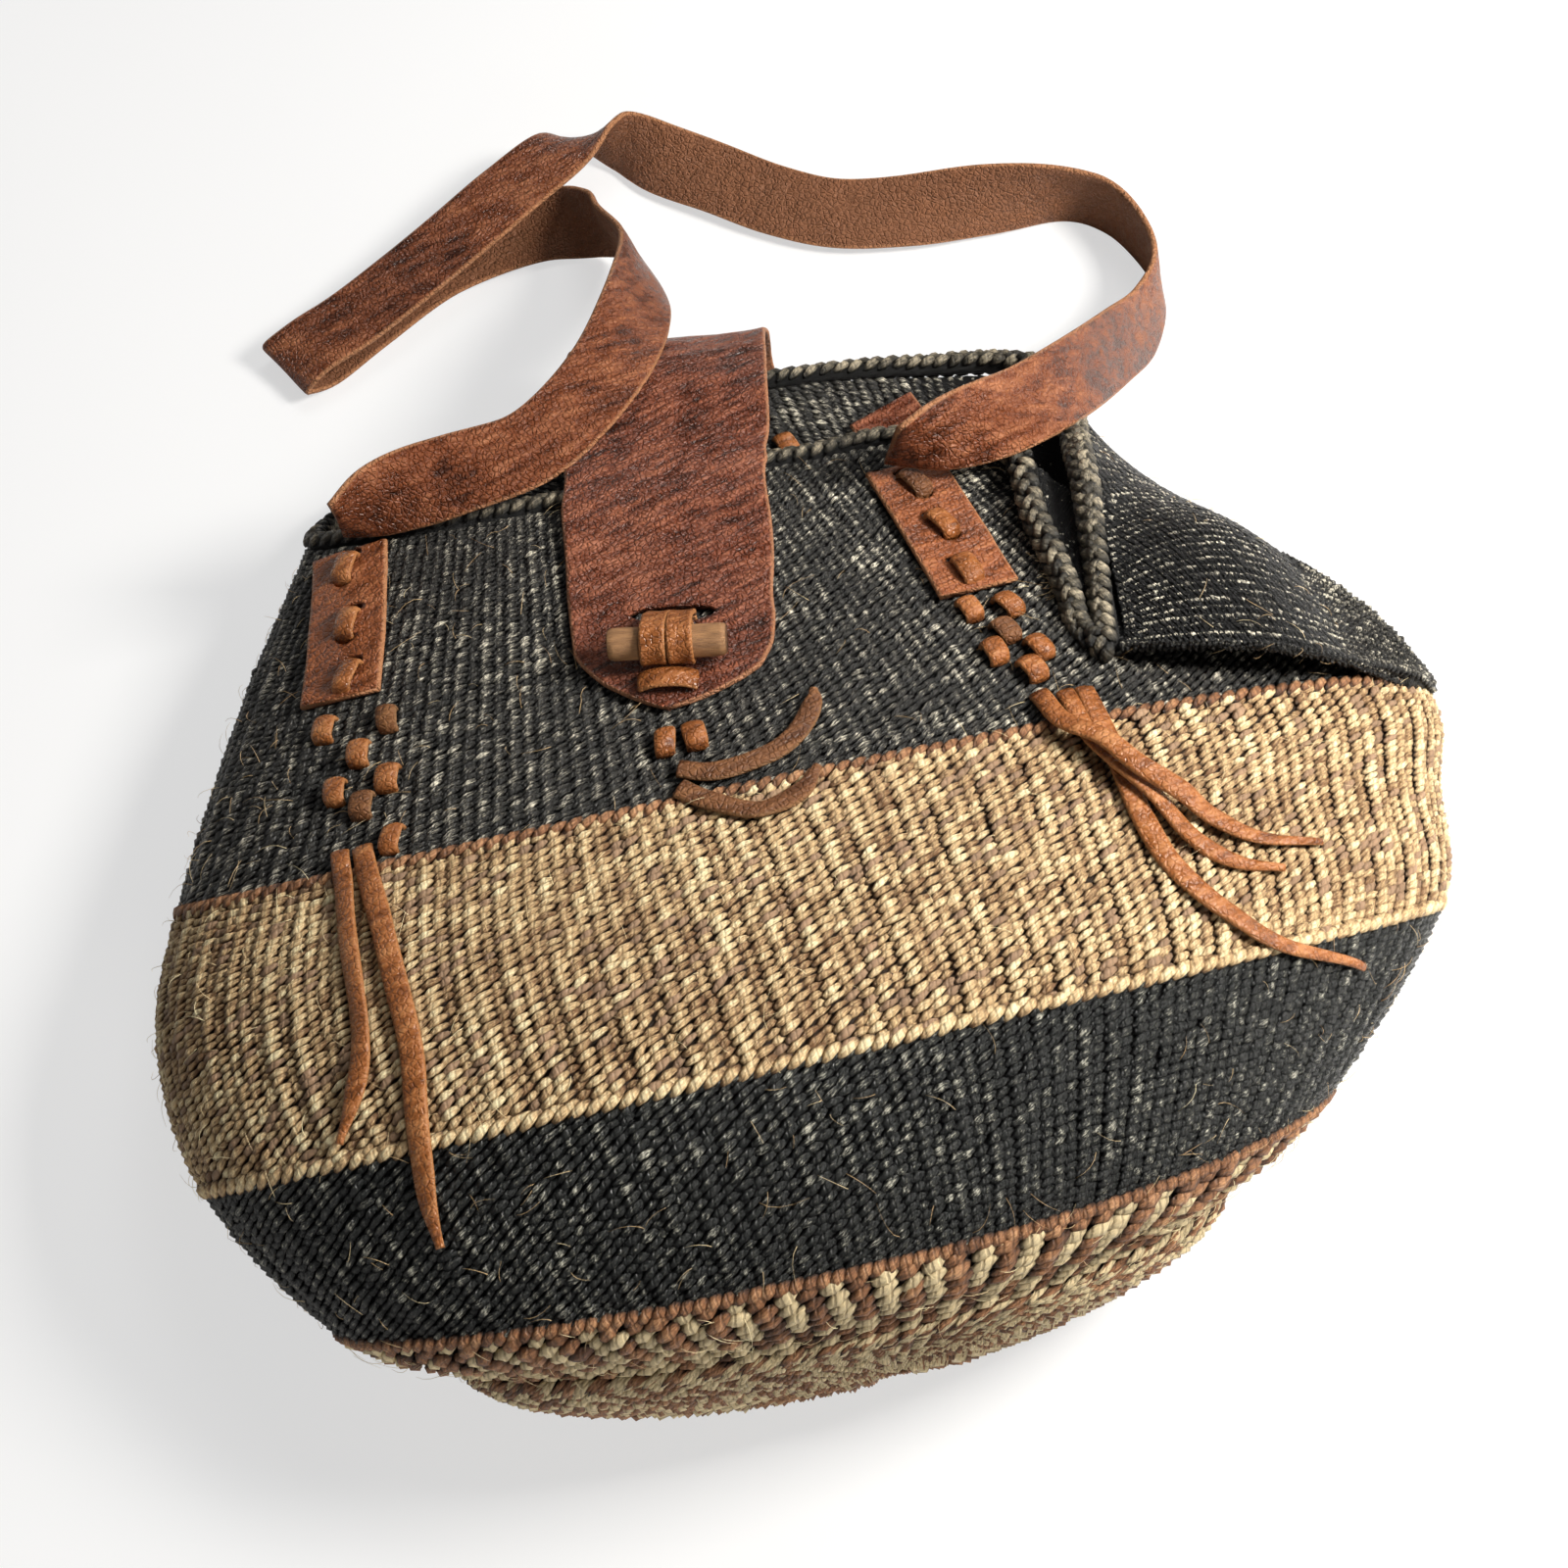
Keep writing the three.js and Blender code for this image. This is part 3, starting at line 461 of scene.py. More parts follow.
def mesh_object(name: str, verts: Array, quads: Array, tris: Array | None = None, uv: Array | None = None,
                values: dict[str, Array] | None = None, smooth: bool = True) -> bpy.types.Object:
    """Puts arrays into a mesh object in the scene, with faces turned out by the sign of the enclosed volume.

    Args:
        name: Name of the piece.
        verts: Points in millimetres.
        quads: Four-cornered faces.
        tris: Three-cornered faces.
        uv: One pair per vertex.
        values: Named values per vertex, single numbers or colours of four.
        smooth: Whether faces are shaded smooth.

    Returns:
        The new object, at the origin.
    """
    tris = np.zeros((0, 3), int) if tris is None else tris
    corners = np.concatenate([quads[:, [0, 1, 2]], quads[:, [0, 2, 3]], tris])
    if (verts[corners[:, 0]] * np.cross(verts[corners[:, 1]], verts[corners[:, 2]])).sum() < 0:
        quads, tris = quads[:, ::-1], tris[:, ::-1]
    loops = np.concatenate([quads.ravel(), tris.ravel()]).astype(np.int32)
    sizes = np.concatenate([np.full(len(quads), 4), np.full(len(tris), 3)])
    mesh = bpy.data.meshes.new(name)
    mesh.vertices.add(len(verts))
    mesh.vertices.foreach_set("co", (verts * MM).astype(np.float32).ravel())
    mesh.loops.add(len(loops))
    mesh.loops.foreach_set("vertex_index", loops)
    mesh.polygons.add(len(sizes))
    mesh.polygons.foreach_set("loop_start", (np.cumsum(sizes) - sizes).astype(np.int32))
    mesh.polygons.foreach_set("use_smooth", np.full(len(sizes), smooth))
    mesh.update(calc_edges=True)
    if uv is not None:
        mesh.uv_layers.new(name="UVMap").data.foreach_set("uv", uv[loops].astype(np.float32).ravel())
    for key, value in (values or {}).items():
        kind = "FLOAT_COLOR" if value.ndim == 2 else "FLOAT"
        data = mesh.attributes.new(key, kind, "POINT").data
        data.foreach_set("color" if value.ndim == 2 else "value", value.astype(np.float32).ravel())
    mesh.validate()
    made = bpy.data.objects.new(name, mesh)
    bpy.context.scene.collection.objects.link(made)
    return made


def grid_faces(rows: int, cols: int, wrap_rows: bool = False, wrap_cols: bool = False) -> Array:
    """Quads of a grid of points numbered row by row.

    Args:
        rows: Rows of points.
        cols: Points in a row.
        wrap_rows: Whether the last row joins the first.
        wrap_cols: Whether each row's end joins its start.

    Returns:
        The quads.
    """
    i = np.arange(rows if wrap_rows else rows - 1)[:, None]
    j = np.arange(cols if wrap_cols else cols - 1)[None, :]
    k, m = (i + 1) % rows, (j + 1) % cols
    corners = np.broadcast_arrays(i * cols + j, i * cols + m, k * cols + m, k * cols + j)
    return np.stack(corners, -1).reshape(-1, 4)


def repeated(faces: Array, points: int, count: int) -> Array:
    """Faces of a shape for many copies of it, each copy's numbers moved on by the shape's points."""
    return (faces[None] + (np.arange(count) * points)[:, None, None]).reshape(-1, faces.shape[1])


def sheet_normal(grid: Array) -> Array:
    """Unit normals of a sheet of points: its slope along crossed with its slope across."""
    return unit(np.cross(np.gradient(grid, axis=0), np.gradient(grid, axis=1)))


def band_profile(points: int) -> tuple[Array, Array, Array, Array]:
    """Closed section of a flat band with round edges, as shares of half width and half thickness.

    Args:
        points: Points across each face.

    Returns:
        Sideways share, edge bulge, thickness share and how much each point belongs to a cut edge.
    """
    face = np.linspace(-1, 1, points)
    none, edge = 0 * face, np.ones(EDGE_POINTS)
    turn = np.linspace(0, np.pi, EDGE_POINTS + 2)[1:-1]
    side = np.concatenate([face, edge, face[::-1], -edge])
    bulge = np.concatenate([none, np.sin(turn), none, -np.sin(turn)])
    high = np.concatenate([none + 1, np.cos(turn), none - 1, -np.cos(turn)])
    cut_edge = np.concatenate([none, edge, none, edge])
    return side, bulge, high, cut_edge


def capped(rows: int, cols: int) -> tuple[Array, Array]:
    """Faces of a tube of closed sections, whose ends are closed to two extra middle points.

    Args:
        rows: Sections.
        cols: Points of a section.

    Returns:
        Quads of the tube and triangles of its ends.
    """
    j = np.arange(cols)
    k = (j + 1) % cols
    first, last = np.full(cols, rows * cols), np.full(cols, rows * cols + 1)
    base = (rows - 1) * cols
    tris = np.concatenate([np.stack([k, j, first], -1), np.stack([base + j, base + k, last], -1)])
    return grid_faces(rows, cols, wrap_cols=True), tris


def band_object(name: str, middle: Array, thick: Array | float) -> bpy.types.Object:
    """Band of leather from its middle surface, with round cut edges.

    Each point moves half the thickness along the surface normal; edge points also stand out sideways.

    Args:
        name: Name of the piece.
        middle: Grid of points, along by across.
        thick: Thickness at each station or all over.

    Returns:
        The band, with values cut and flesh for its finish.
    """
    rows, cols = middle.shape[:2]
    across = np.gradient(middle, axis=1)
    side, bulge, high, cut_edge = band_profile(cols)
    count = len(side)
    half = np.broadcast_to(np.asarray(thick, float), rows)[:, None, None] / 2
    pick = np.clip(np.round((side + 1) / 2 * (cols - 1)).astype(int), 0, cols - 1)
    verts = (middle[:, pick] + sheet_normal(middle)[:, pick] * half * high[None, :, None]
             + unit(across)[:, pick] * half * bulge[None, :, None])
    run = run_along(middle[:, cols // 2])
    wide = np.linalg.norm(middle[:, -1] - middle[:, 0], axis=1)
    uv = np.stack(np.broadcast_arrays(run[:, None], side[None] * wide[:, None] / 2), -1).reshape(-1, 2) / 100
    flesh = np.append(np.tile((high < -0.5).astype(float), rows), [0, 0])
    cuts = np.append(np.tile(cut_edge, rows), [1, 1])
    flat = np.vstack([verts.reshape(-1, 3), verts[0].mean(0), verts[-1].mean(0)])
    quads, tris = capped(rows, count)
    return mesh_object(name, flat, quads, tris, np.vstack([uv, uv[0], uv[-1]]), {"cut": cuts, "flesh": flesh})


class Sock:
    """Socket of a shader graph that works in Python expressions."""

    def __init__(self, graph: "Graph", socket: bpy.types.NodeSocket) -> None:
        """Keeps the graph and the output socket."""
        self.graph, self.socket = graph, socket

    def _math(self, operation: str, left: "Sock | float", right: "Sock | float") -> "Sock":
        """Math node of two values."""
        return self.graph.node("ShaderNodeMath", {"operation": operation}, {0: left, 1: right})

    def __add__(self, other: "Sock | float") -> "Sock":
        """Sum."""
        return self._math("ADD", self, other)

    __radd__ = __add__

    def __mul__(self, other: "Sock | float") -> "Sock":
        """Product."""
        return self._math("MULTIPLY", self, other)

    __rmul__ = __mul__

    def __sub__(self, other: "Sock | float") -> "Sock":
        """Difference."""
        return self._math("SUBTRACT", self, other)

    def __rsub__(self, other: float) -> "Sock":
        """Difference from a number."""
        return self._math("SUBTRACT", other, self)

    def __pow__(self, other: float) -> "Sock":
        """Power."""
        return self._math("POWER", self, other)


class Graph:
    """Node graph of a material or of the world."""

    def __init__(self, owner: bpy.types.Material | bpy.types.World) -> None:
        """Empties the owner's graph.

        Args:
            owner: Material or world that the graph belongs to.
        """
        owner.use_nodes = True
        self.owner, self.tree = owner, owner.node_tree
        self.tree.nodes.clear()

    def add(self, kind: str, settings: dict | None = None, inputs: dict | None = None) -> bpy.types.Node:
        """Adds a node; every node of the scene comes from here.

        Args:
            kind: Node type.
            settings: Properties, or stops of a ramp under the key stops, set first.
            inputs: Values or links by socket name or number.

        Returns:
            The new node.
        """
        made = self.tree.nodes.new(kind)
        for key, value in (settings or {}).items():
            if key == "stops":
                ramp = made.color_ramp
                while len(ramp.elements) < len(value):
                    ramp.elements.new(1.0)
                for element, (place, colour) in zip(ramp.elements, value):
                    element.position = place
                    element.color = (*colour, 1.0)
            else:
                setattr(made, key, value)
        for key, value in (inputs or {}).items():
            if isinstance(value, Sock):
                self.tree.links.new(value.socket, made.inputs[key])
            else:
                made.inputs[key].default_value = value
        return made

    def node(self, kind: str, settings: dict | None = None, inputs: dict | None = None,
             output: int | str = 0) -> Sock:
        """Adds a node and gives one of its outputs."""
        return Sock(self, self.add(kind, settings, inputs).outputs[output])

    def split(self, kind: str, whole: Sock) -> list[Sock]:
        """Parts of a colour or vector."""
        return [Sock(self, part) for part in self.add(kind, inputs={0: whole}).outputs]

    def value(self, name: str) -> Sock:
        """Value stored on the piece."""
        return self.node("ShaderNodeAttribute", {"attribute_name": name}, output="Fac")

    def place(self, scale: Triple = (1.0, 1.0, 1.0), own: bool = False, turn: float = 0.0) -> Sock:
        """Coordinates turned about the upright and scaled by axis.

        Args:
            scale: Factor for each axis.
            own: Whether they come from the piece's own map and not from the object.
            turn: Turn in radians.

        Returns:
            The coordinates.
        """
        start = self.node("ShaderNodeTexCoord", output="UV" if own else "Object")
        spun = self.node("ShaderNodeMapping", inputs={"Vector": start, "Rotation": (0.0, 0.0, turn)})
        return self.node("ShaderNodeMapping", inputs={"Vector": spun, "Scale": scale})

    def noise(self, where: Sock, scale: float = 1.0, detail: float = 3.0, rough: float = 0.6) -> Sock:
        """Noise from 0 to 1."""
        inputs = {"Vector": where, "Scale": scale, "Detail": detail, "Roughness": rough}
        return self.node("ShaderNodeTexNoise", {}, inputs, "Fac")

    def ramp(self, value: Sock, stops: list[tuple[float, Colour]]) -> Sock:
        """Colour by value."""
        return self.node("ShaderNodeValToRGB", {"stops": stops}, {"Fac": value}, "Color")

    def grade(self, value: Sock, low: float, high: float, start: float = 0.0, end: float = 1.0) -> Sock:
        """Value mapped smoothly from one range to another and held at its ends."""
        return self.node("ShaderNodeMapRange", {"interpolation_type": "SMOOTHSTEP"},
                         {"Value": value, "From Min": low, "From Max": high, "To Min": start, "To Max": end})

    @staticmethod
    def weighted(values: tuple[Sock, ...], shares: tuple[float, ...]) -> Sock:
        """Sum of values, each times its share."""
        first, *rest = (value * share for value, share in zip(values, shares))
        return sum(rest, first)

    def mix(self, share: Sock | float, first: Sock | Colour, second: Sock | Colour) -> Sock:
        """Two colours mixed."""
        pair = [c if isinstance(c, Sock) else (*c, 1.0) for c in (first, second)]
        return self.node("ShaderNodeMix", {"data_type": "RGBA"}, {0: share, 6: pair[0], 7: pair[1]}, 2)

    def surface(self, colour: Sock, rough: Sock, height: Sock, depth: float,
                fixed: dict[str, float]) -> bpy.types.Material:
        """Closes a material's graph with the shader.

        Args:
            colour: Base colour.
            rough: Roughness.
            height: Height for the bump.
            depth: Bump distance in metres.
            fixed: Shader sockets that are the same all over.

        Returns:
            The material.
        """
        bump = self.node("ShaderNodeBump", {},
                         {"Strength": BUMP_STRENGTH, "Distance": depth, "Height": height})
        shader = self.node("ShaderNodeBsdfPrincipled", {},
                           {"Base Color": colour, "Roughness": rough, "Normal": bump, **fixed})
        self.add("ShaderNodeOutputMaterial", inputs={"Surface": shader})
        return self.owner


def dimmed(colour: Colour, share: float) -> Colour:
    """Darker colour: each channel times a share."""
    return tuple(c * share for c in colour)


@dataclass(frozen=True)
class SisalFinish:
    """Twined sisal: strand shades by chance, plies and fibre streaks along each strand, with a painted
    highlight on each strand's top and painted shade in the ply grooves and in the gaps.
    """

    name: str
    dark: Colour
    middle: Colour
    light: Colour
    second: Colour
    gloss: float = 0.5
    ply: float = 0.3
    turn: float = 0.4
    reach: float = 0.42
    fibre: Triple = (1.6, 15.0, 1.0)
    fibre_rough: float = 0.75
    patch: float = 30.0
    ply_map: Triple = (1.0, 2.0, 1.0)
    ply_turns: float = 1.6
    ply_stray: float = 0.35
    tone_shares: tuple[float, ...] = (0.6, 0.6, 0.25, 0.75)
    tone_level: float = 1.0
    second_shares: tuple[float, float] = (0.7, 0.4)
    shadow: float = 0.3
    gap_shade: float = 0.12
    depth: float = 0.0008
    shine: float = 0.5

    def material(self) -> bpy.types.Material:
        """Builds the material from the strands' tint value and own map.

        The tone is a weighted sum of the strand's shade, fibre streaks, broad patches and the strand's
        crown; the crown term is a painted highlight along each strand's top. The plies' grooves are a sine of
        the way along plus the way round the strand, darkened as painted shade, and each strand's flanks are
        darkened towards the dark colour as painted shade in the gaps.

        Returns:
            The material.
        """
        g = Graph(bpy.data.materials.new(self.name))
        tint = g.node("ShaderNodeAttribute", {"attribute_name": "tint"}, output="Color")
        shade, kind, crown = g.split("ShaderNodeSeparateColor", tint)
        streak = g.noise(g.place(self.fibre, True), detail=4.0, rough=self.fibre_rough)
        patch = g.noise(g.place(), self.patch)
        along, around, _ = g.split("ShaderNodeSeparateXYZ", g.place(self.ply_map, True))
        twist = along * self.ply_turns + around + streak * self.ply_stray
        wave = g.node("ShaderNodeMath", {"operation": "SINE"}, {0: twist * math.tau})
        groove = g.grade(wave, -1.0, -0.2)
        # Crown term: a painted highlight that brightens each strand's top and leaves its flanks dark.
        values = (shade, g.grade(streak, 0.25, 0.75), patch, crown)
        tone = g.weighted(values, self.tone_shares) - self.tone_level
        lit = self.turn + self.reach
        colour = g.ramp(tone, [(0.0, self.dark), (self.turn, self.middle), (lit, self.light)])
        blend = g.weighted((streak, shade), self.second_shares)
        colour = g.mix(kind, colour, g.mix(blend, dimmed(self.second, self.shadow), self.second))
        # Ply grooves mixed towards a dimmed middle colour: painted shade in the grooves between the plies.
        colour = g.mix((1.0 - groove) * self.ply, colour, dimmed(self.middle, self.shadow))
        # Flanks of each strand, where the crown value is low, mixed towards a dimmed dark colour: painted
        # shade in the gaps between strands.
        colour = g.mix(g.grade(crown, 0.1, 0.75, 0.97, 0.0), colour, dimmed(self.dark, self.gap_shade))
        rough = g.grade(streak, 0.3, 0.7, self.gloss, self.gloss + 0.25)
        return g.surface(colour, rough, streak + groove * self.ply, self.depth,
                         {"Specular IOR Level": self.shine})


@dataclass(frozen=True)
class LeatherFinish:
    """Waxy leather: mottled smooth side, rough pale flesh side, light cut edges."""

    name: str
    deep: Colour
    middle: Colour
    worn_and_lit: Colour
    flesh: Colour
    edge: Colour
    gloss: float
    crease: float = 0.0014
    blotch: float = 1.0
    mottle: float = 70.0
    cloud: float = 17.0
    pore: float = 1300.0
    pebble: float = 520.0
    folds: Triple = (75.0, 330.0, 220.0)
    fold_turn: float = -0.3
    tone_shares: tuple[float, ...] = (0.5, 0.6, 0.5, 0.1)
    tone_level: float = 0.85
    tone_middle: float = 0.45
    stops: Triple = (0.18, 0.46, 0.8)
    nap_shares: tuple[float, float] = (0.7, 0.4)
    edge_share: float = 0.85
    relief: tuple[float, ...] = (1.0, 0.45, 0.12, 0.5)
    shadow: float = 0.4
    shine: float = 0.38

    def material(self) -> bpy.types.Material:
        """Builds the material: slanting creases, pebbled grain and mottling, by the cut and flesh values.

        The tone is a weighted sum of mottling, clouds, creases and grain about a middle level. The crease
        term lays light and dark bands along the folds, painted light and shade, so the lightest colour stands
        for both lighter mottling and painted light.

        Returns:
            The material.
        """
        g = Graph(bpy.data.materials.new(self.name))
        here = g.place()
        mottle = g.noise(here, self.mottle, 6.0, 0.72)
        cloud = g.noise(here, self.cloud, 2.0)
        pore = g.noise(here, self.pore, 2.0, 0.7)
        cells = g.node("ShaderNodeTexVoronoi", {"feature": "DISTANCE_TO_EDGE"},
                       {"Vector": here, "Scale": self.pebble}, "Distance")
        pebble = g.grade(cells, 0.0, 0.22)
        fold = g.grade(g.noise(g.place(self.folds, turn=self.fold_turn), 1.0, 5.0, 0.65), 0.28, 0.72)
        # Crease term in the tone: light and dark bands along the folds, painted light and shade; the lightest
        # ramp colour is reached partly by mottling and partly by this painted light.
        tone = g.weighted((mottle, cloud, fold, pebble), self.tone_shares) - self.tone_level
        colours = (self.deep, self.middle, self.worn_and_lit)
        colour = g.ramp(tone * self.blotch + self.tone_middle, list(zip(self.stops, colours)))
        flesh, trimmed = g.value("flesh"), g.value("cut")
        rough_nap = g.weighted((mottle, pore), self.nap_shares)
        nap = g.mix(rough_nap, dimmed(self.flesh, self.shadow), self.flesh)
        colour = g.mix(flesh, colour, nap)
        colour = g.mix(trimmed * self.edge_share, colour, self.edge)
        wear = g.grade(mottle + fold * 0.4, 0.5, 1.0, self.gloss, self.gloss + 0.3)
        rough = wear + flesh * 0.3 + trimmed * 0.2
        height = g.weighted((fold, pebble, pore, mottle), self.relief)
        return g.surface(colour, rough, height, self.crease, {"Specular IOR Level": self.shine})


@dataclass(frozen=True)
class WoodFinish:
    """Bare wood: long dark lines and fine pores along the dowel."""

    name: str
    dark: Colour
    light: Colour
    lines: Triple = (2.5, 34.0, 1.0)
    broad: Triple = (0.8, 7.0, 1.0)
    pores: Triple = (8.0, 120.0, 1.0)
    tone_shares: Triple = (0.6, 0.55, 0.15)
    tone_level: float = 0.12
    end: float = 0.45
    end_share: float = 0.7
    depth: float = 0.0004

    def material(self) -> bpy.types.Material:
        """Builds the material along the dowel's own map: a weighted sum of lines, broad bands and pores.

        Returns:
            The material.
        """
        g = Graph(bpy.data.materials.new(self.name))
        line = g.noise(g.place(self.lines, True), 1.0, 5.0, 0.65)
        broad = g.noise(g.place(self.broad, True), 1.0, 2.0)
        pore = g.noise(g.place(self.pores, True), 1.0, 2.0)
        tone = g.weighted((line, broad, pore), self.tone_shares) - self.tone_level
        colour = g.ramp(tone, [(0.25, self.dark), (0.7, self.light)])
        colour = g.mix(g.value("cut") * self.end_share, colour, dimmed(self.dark, self.end))
        return g.surface(colour, g.grade(line, 0.3, 0.7, 0.5, 0.72), line + pore * 0.5, self.depth, {})


class Finish(Enum):
    """Finishes of the bag."""

    # CHARCOAL's near-white light colour, reached at the strands' crowns, is a painted highlight for the sheen
    # of the dark fibres.
    CHARCOAL = SisalFinish("charcoal_sisal", (0.008, 0.008, 0.007), (0.026, 0.024, 0.020), (0.95, 0.88, 0.70),
                           (0.26, 0.15, 0.07), gloss=0.26, ply=0.35, turn=0.45, reach=0.34)
    NATURAL = SisalFinish("natural_sisal", (0.18, 0.085, 0.032), (0.63, 0.43, 0.215), (1.0, 0.88, 0.54),
                          (0.50, 0.31, 0.18), gloss=0.46)
    # As with CHARCOAL, this light colour is a painted highlight for the sheen of the dark fibres.
    DEEP = SisalFinish("deep_sisal", (0.005, 0.006, 0.006), (0.012, 0.013, 0.011), (0.66, 0.64, 0.52),
                       (0.26, 0.15, 0.07), gloss=0.26, ply=0.35, turn=0.46, reach=0.34)
    EDGE = SisalFinish("edge_sisal", (0.014, 0.013, 0.010), (0.075, 0.064, 0.044), (0.46, 0.39, 0.27),
                       (0.46, 0.28, 0.11), gloss=0.42)
    MARL = SisalFinish("marl_sisal", (0.06, 0.022, 0.008), (0.27, 0.115, 0.045), (0.60, 0.33, 0.16),
                       (1.0, 0.80, 0.46), gloss=0.42, ply=0.4)
    LEATHER = LeatherFinish("brown_leather", (0.035, 0.008, 0.003), (0.165, 0.040, 0.016), (0.40, 0.14, 0.07),
                            (0.22, 0.085, 0.038), (0.44, 0.20, 0.10), gloss=0.22)
    LACE = LeatherFinish("tan_lace", (0.06, 0.015, 0.005), (0.32, 0.108, 0.030), (0.60, 0.28, 0.11),
                         (0.40, 0.20, 0.09), (0.36, 0.15, 0.05), gloss=0.14, crease=0.0005, blotch=0.6)
    DARK_LACE = LeatherFinish("brown_lace", (0.045, 0.014, 0.006), (0.18, 0.070, 0.024), (0.33, 0.15, 0.055),
                              (0.26, 0.13, 0.055), (0.22, 0.11, 0.045), gloss=0.4, crease=0.0007, blotch=0.6)
    STRAP = LeatherFinish("strap_leather", (0.04, 0.010, 0.004), (0.19, 0.052, 0.018), (0.42, 0.16, 0.068),
                          (0.29, 0.115, 0.050), (0.44, 0.20, 0.09), gloss=0.22, blotch=0.8)
    TAB = LeatherFinish("tab_leather", (0.07, 0.018, 0.006), (0.29, 0.086, 0.028), (0.52, 0.21, 0.085),
                        (0.25, 0.095, 0.040), (0.44, 0.20, 0.09), gloss=0.26, crease=0.0009, blotch=0.7)
    WOOD = WoodFinish("dowel_wood", (0.09, 0.036, 0.013), (0.46, 0.24, 0.10))

    def dress(self, piece: bpy.types.Object) -> None:
        """Puts the finish on a piece; its material is made once.

        Args:
            piece: The piece.
        """
        made = bpy.data.materials.get(self.value.name) or self.value.material()
        piece.data.materials.clear()
        piece.data.materials.append(made)


def settle(piece: bpy.types.Object, body: str, slot: str, finish: Finish, *nodes: str) -> None:
    """Dresses a piece, rides it on a body and hides the solids that it stands for.

    Args:
        piece: The piece.
        body: Body that it moves with.
        slot: Material slot of the record; not used.
        finish: Finish to wear.
        nodes: Solids that it replaces, if any.
    """
    finish.dress(piece)
    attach(piece, body)
    if nodes:
        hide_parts(*nodes)
    LOG.info("%s: %d faces", piece.name, len(piece.data.polygons))


@dataclass
class StrandArrays:
    """Arrays of a woven mesh: points, faces, own map, and a tint of shade, kind and crown, the crown carrying
    each strand's painted highlight and shade.
    """

    verts: Array
    quads: Array
    uv: Array
    tint: Array
    tris: Array = field(default_factory=lambda: np.zeros((0, 3), int))

    def __post_init__(self) -> None:
        """Flattens grids of points and values to rows."""
        grids = (self.verts, self.uv, self.tint)
        self.verts, self.uv, self.tint = (grid.reshape(-1, grid.shape[-1]) for grid in grids)

    @classmethod
    def joined(cls, parts: list["StrandArrays"]) -> "StrandArrays":
        """Several sets as one, with face numbers moved on.

        Args:
            parts: The sets.

        Returns:
            One set.
        """
        start = np.cumsum([0] + [len(p.verts) for p in parts[:-1]])
        quads = np.concatenate([p.quads + s for p, s in zip(parts, start)])
        tris = np.concatenate([p.tris + s for p, s in zip(parts, start)])
        rows = (np.concatenate([getattr(p, key) for p in parts]) for key in ("verts", "uv", "tint"))
        verts, uv, tint = rows
        return cls(verts, quads, uv, tint, tris)

    def piece(self, name: str) -> bpy.types.Object:
        """Mesh object, pressed flat where it rests on the floor."""
        verts = np.maximum(self.verts, [-np.inf, -np.inf, 0.0])
        return mesh_object(name, verts, self.quads, self.tris, self.uv, {"tint": self.tint})


@dataclass
class Strands:
    """Shape of one visible strand of the weave, repeated over a surface."""

    sides: int = 5
    rings: tuple[float, ...] = (-0.7, 0.0, 0.7)
    arch: float = 1.0
    taper: float = 0.7
    flat: float = 0.85
    crown: float = 0.62
    crown_top_light: float = 0.5
    crown_end_shade: float = 0.55
    map_reach: float = 60.0

    def pattern(self) -> tuple[Array, Array, Array, Array, Array]:
        """One strand: two poles and rings between, each a circle of radius (1 - t squared) to a power.

        Returns:
            Place along, radius and turn of each point, then its quads and triangles.
        """
        t = np.concatenate([[-1.0], np.repeat(self.rings, self.sides), [1.0]])
        radius = np.maximum(0, 1 - t * t) ** self.taper
        j = np.arange(self.sides)
        turn = np.concatenate([[0], np.tile(j / self.sides * 2 * np.pi, len(self.rings)), [0]])
        quads = 1 + grid_faces(len(self.rings), self.sides, wrap_cols=True)
        k = (j + 1) % self.sides
        last = len(t) - 1
        low = np.stack([0 * j, 1 + k, 1 + j], -1)
        high = np.stack([0 * j + last, last - self.sides + j, last - self.sides + k], -1)
        return t, radius, turn, quads, np.concatenate([low, high])

    def mesh(self, place: Array, way: Array, normal: Array, half: Array, thick: Array, shade: Array,
             kind: Array, seed: int) -> StrandArrays:
        """Strands laid at places: each ring is carried along its strand, whose middle rises in an arch.

        Args:
            place: Middle of each strand.
            way: Direction along each strand.
            normal: Direction out of the wall.
            half: Half length of each strand.
            thick: Half thickness of each strand.
            shade: Light or dark from 0 to 1.
            kind: Share of the second colour.
            seed: Which fibres.

        Returns:
            Arrays for a mesh.
        """
        t, radius, turn, quads, tris = self.pattern()
        n = len(place)
        way = square_to(way, normal)
        side = np.cross(normal, way)
        wide = thick[:, None, None]
        spread = (radius * np.cos(turn))[None, :, None] * wide
        rise = (radius * np.sin(turn))[None, :, None] * self.flat * wide - self.arch * (t * t)[None, :, None]
        verts = (place[:, None] + way[:, None] * t[None, :, None] * half[:, None, None]
                 + side[:, None] * spread + normal[:, None] * rise)
        chance = np.random.default_rng(seed).uniform(0, self.map_reach, (n, 2))
        uv = np.stack(np.broadcast_arrays(t[None] + chance[:, :1], turn[None] / math.tau + chance[:, 1:]), -1)
        # Crown value: higher on the strand's top side, lower on its underside and towards its tucked-in ends;
        # painted highlight on top, painted shade below and at the ends.
        high = self.crown + self.crown_top_light * radius * np.sin(turn) - self.crown_end_shade * t * t
        crown = np.clip(high, 0, 1)
        tint = np.stack(np.broadcast_arrays(shade[:, None], kind[:, None], crown[None], 1.0), -1)
        return StrandArrays(verts, repeated(quads, len(t), n), uv, tint, repeated(tris, len(t), n))


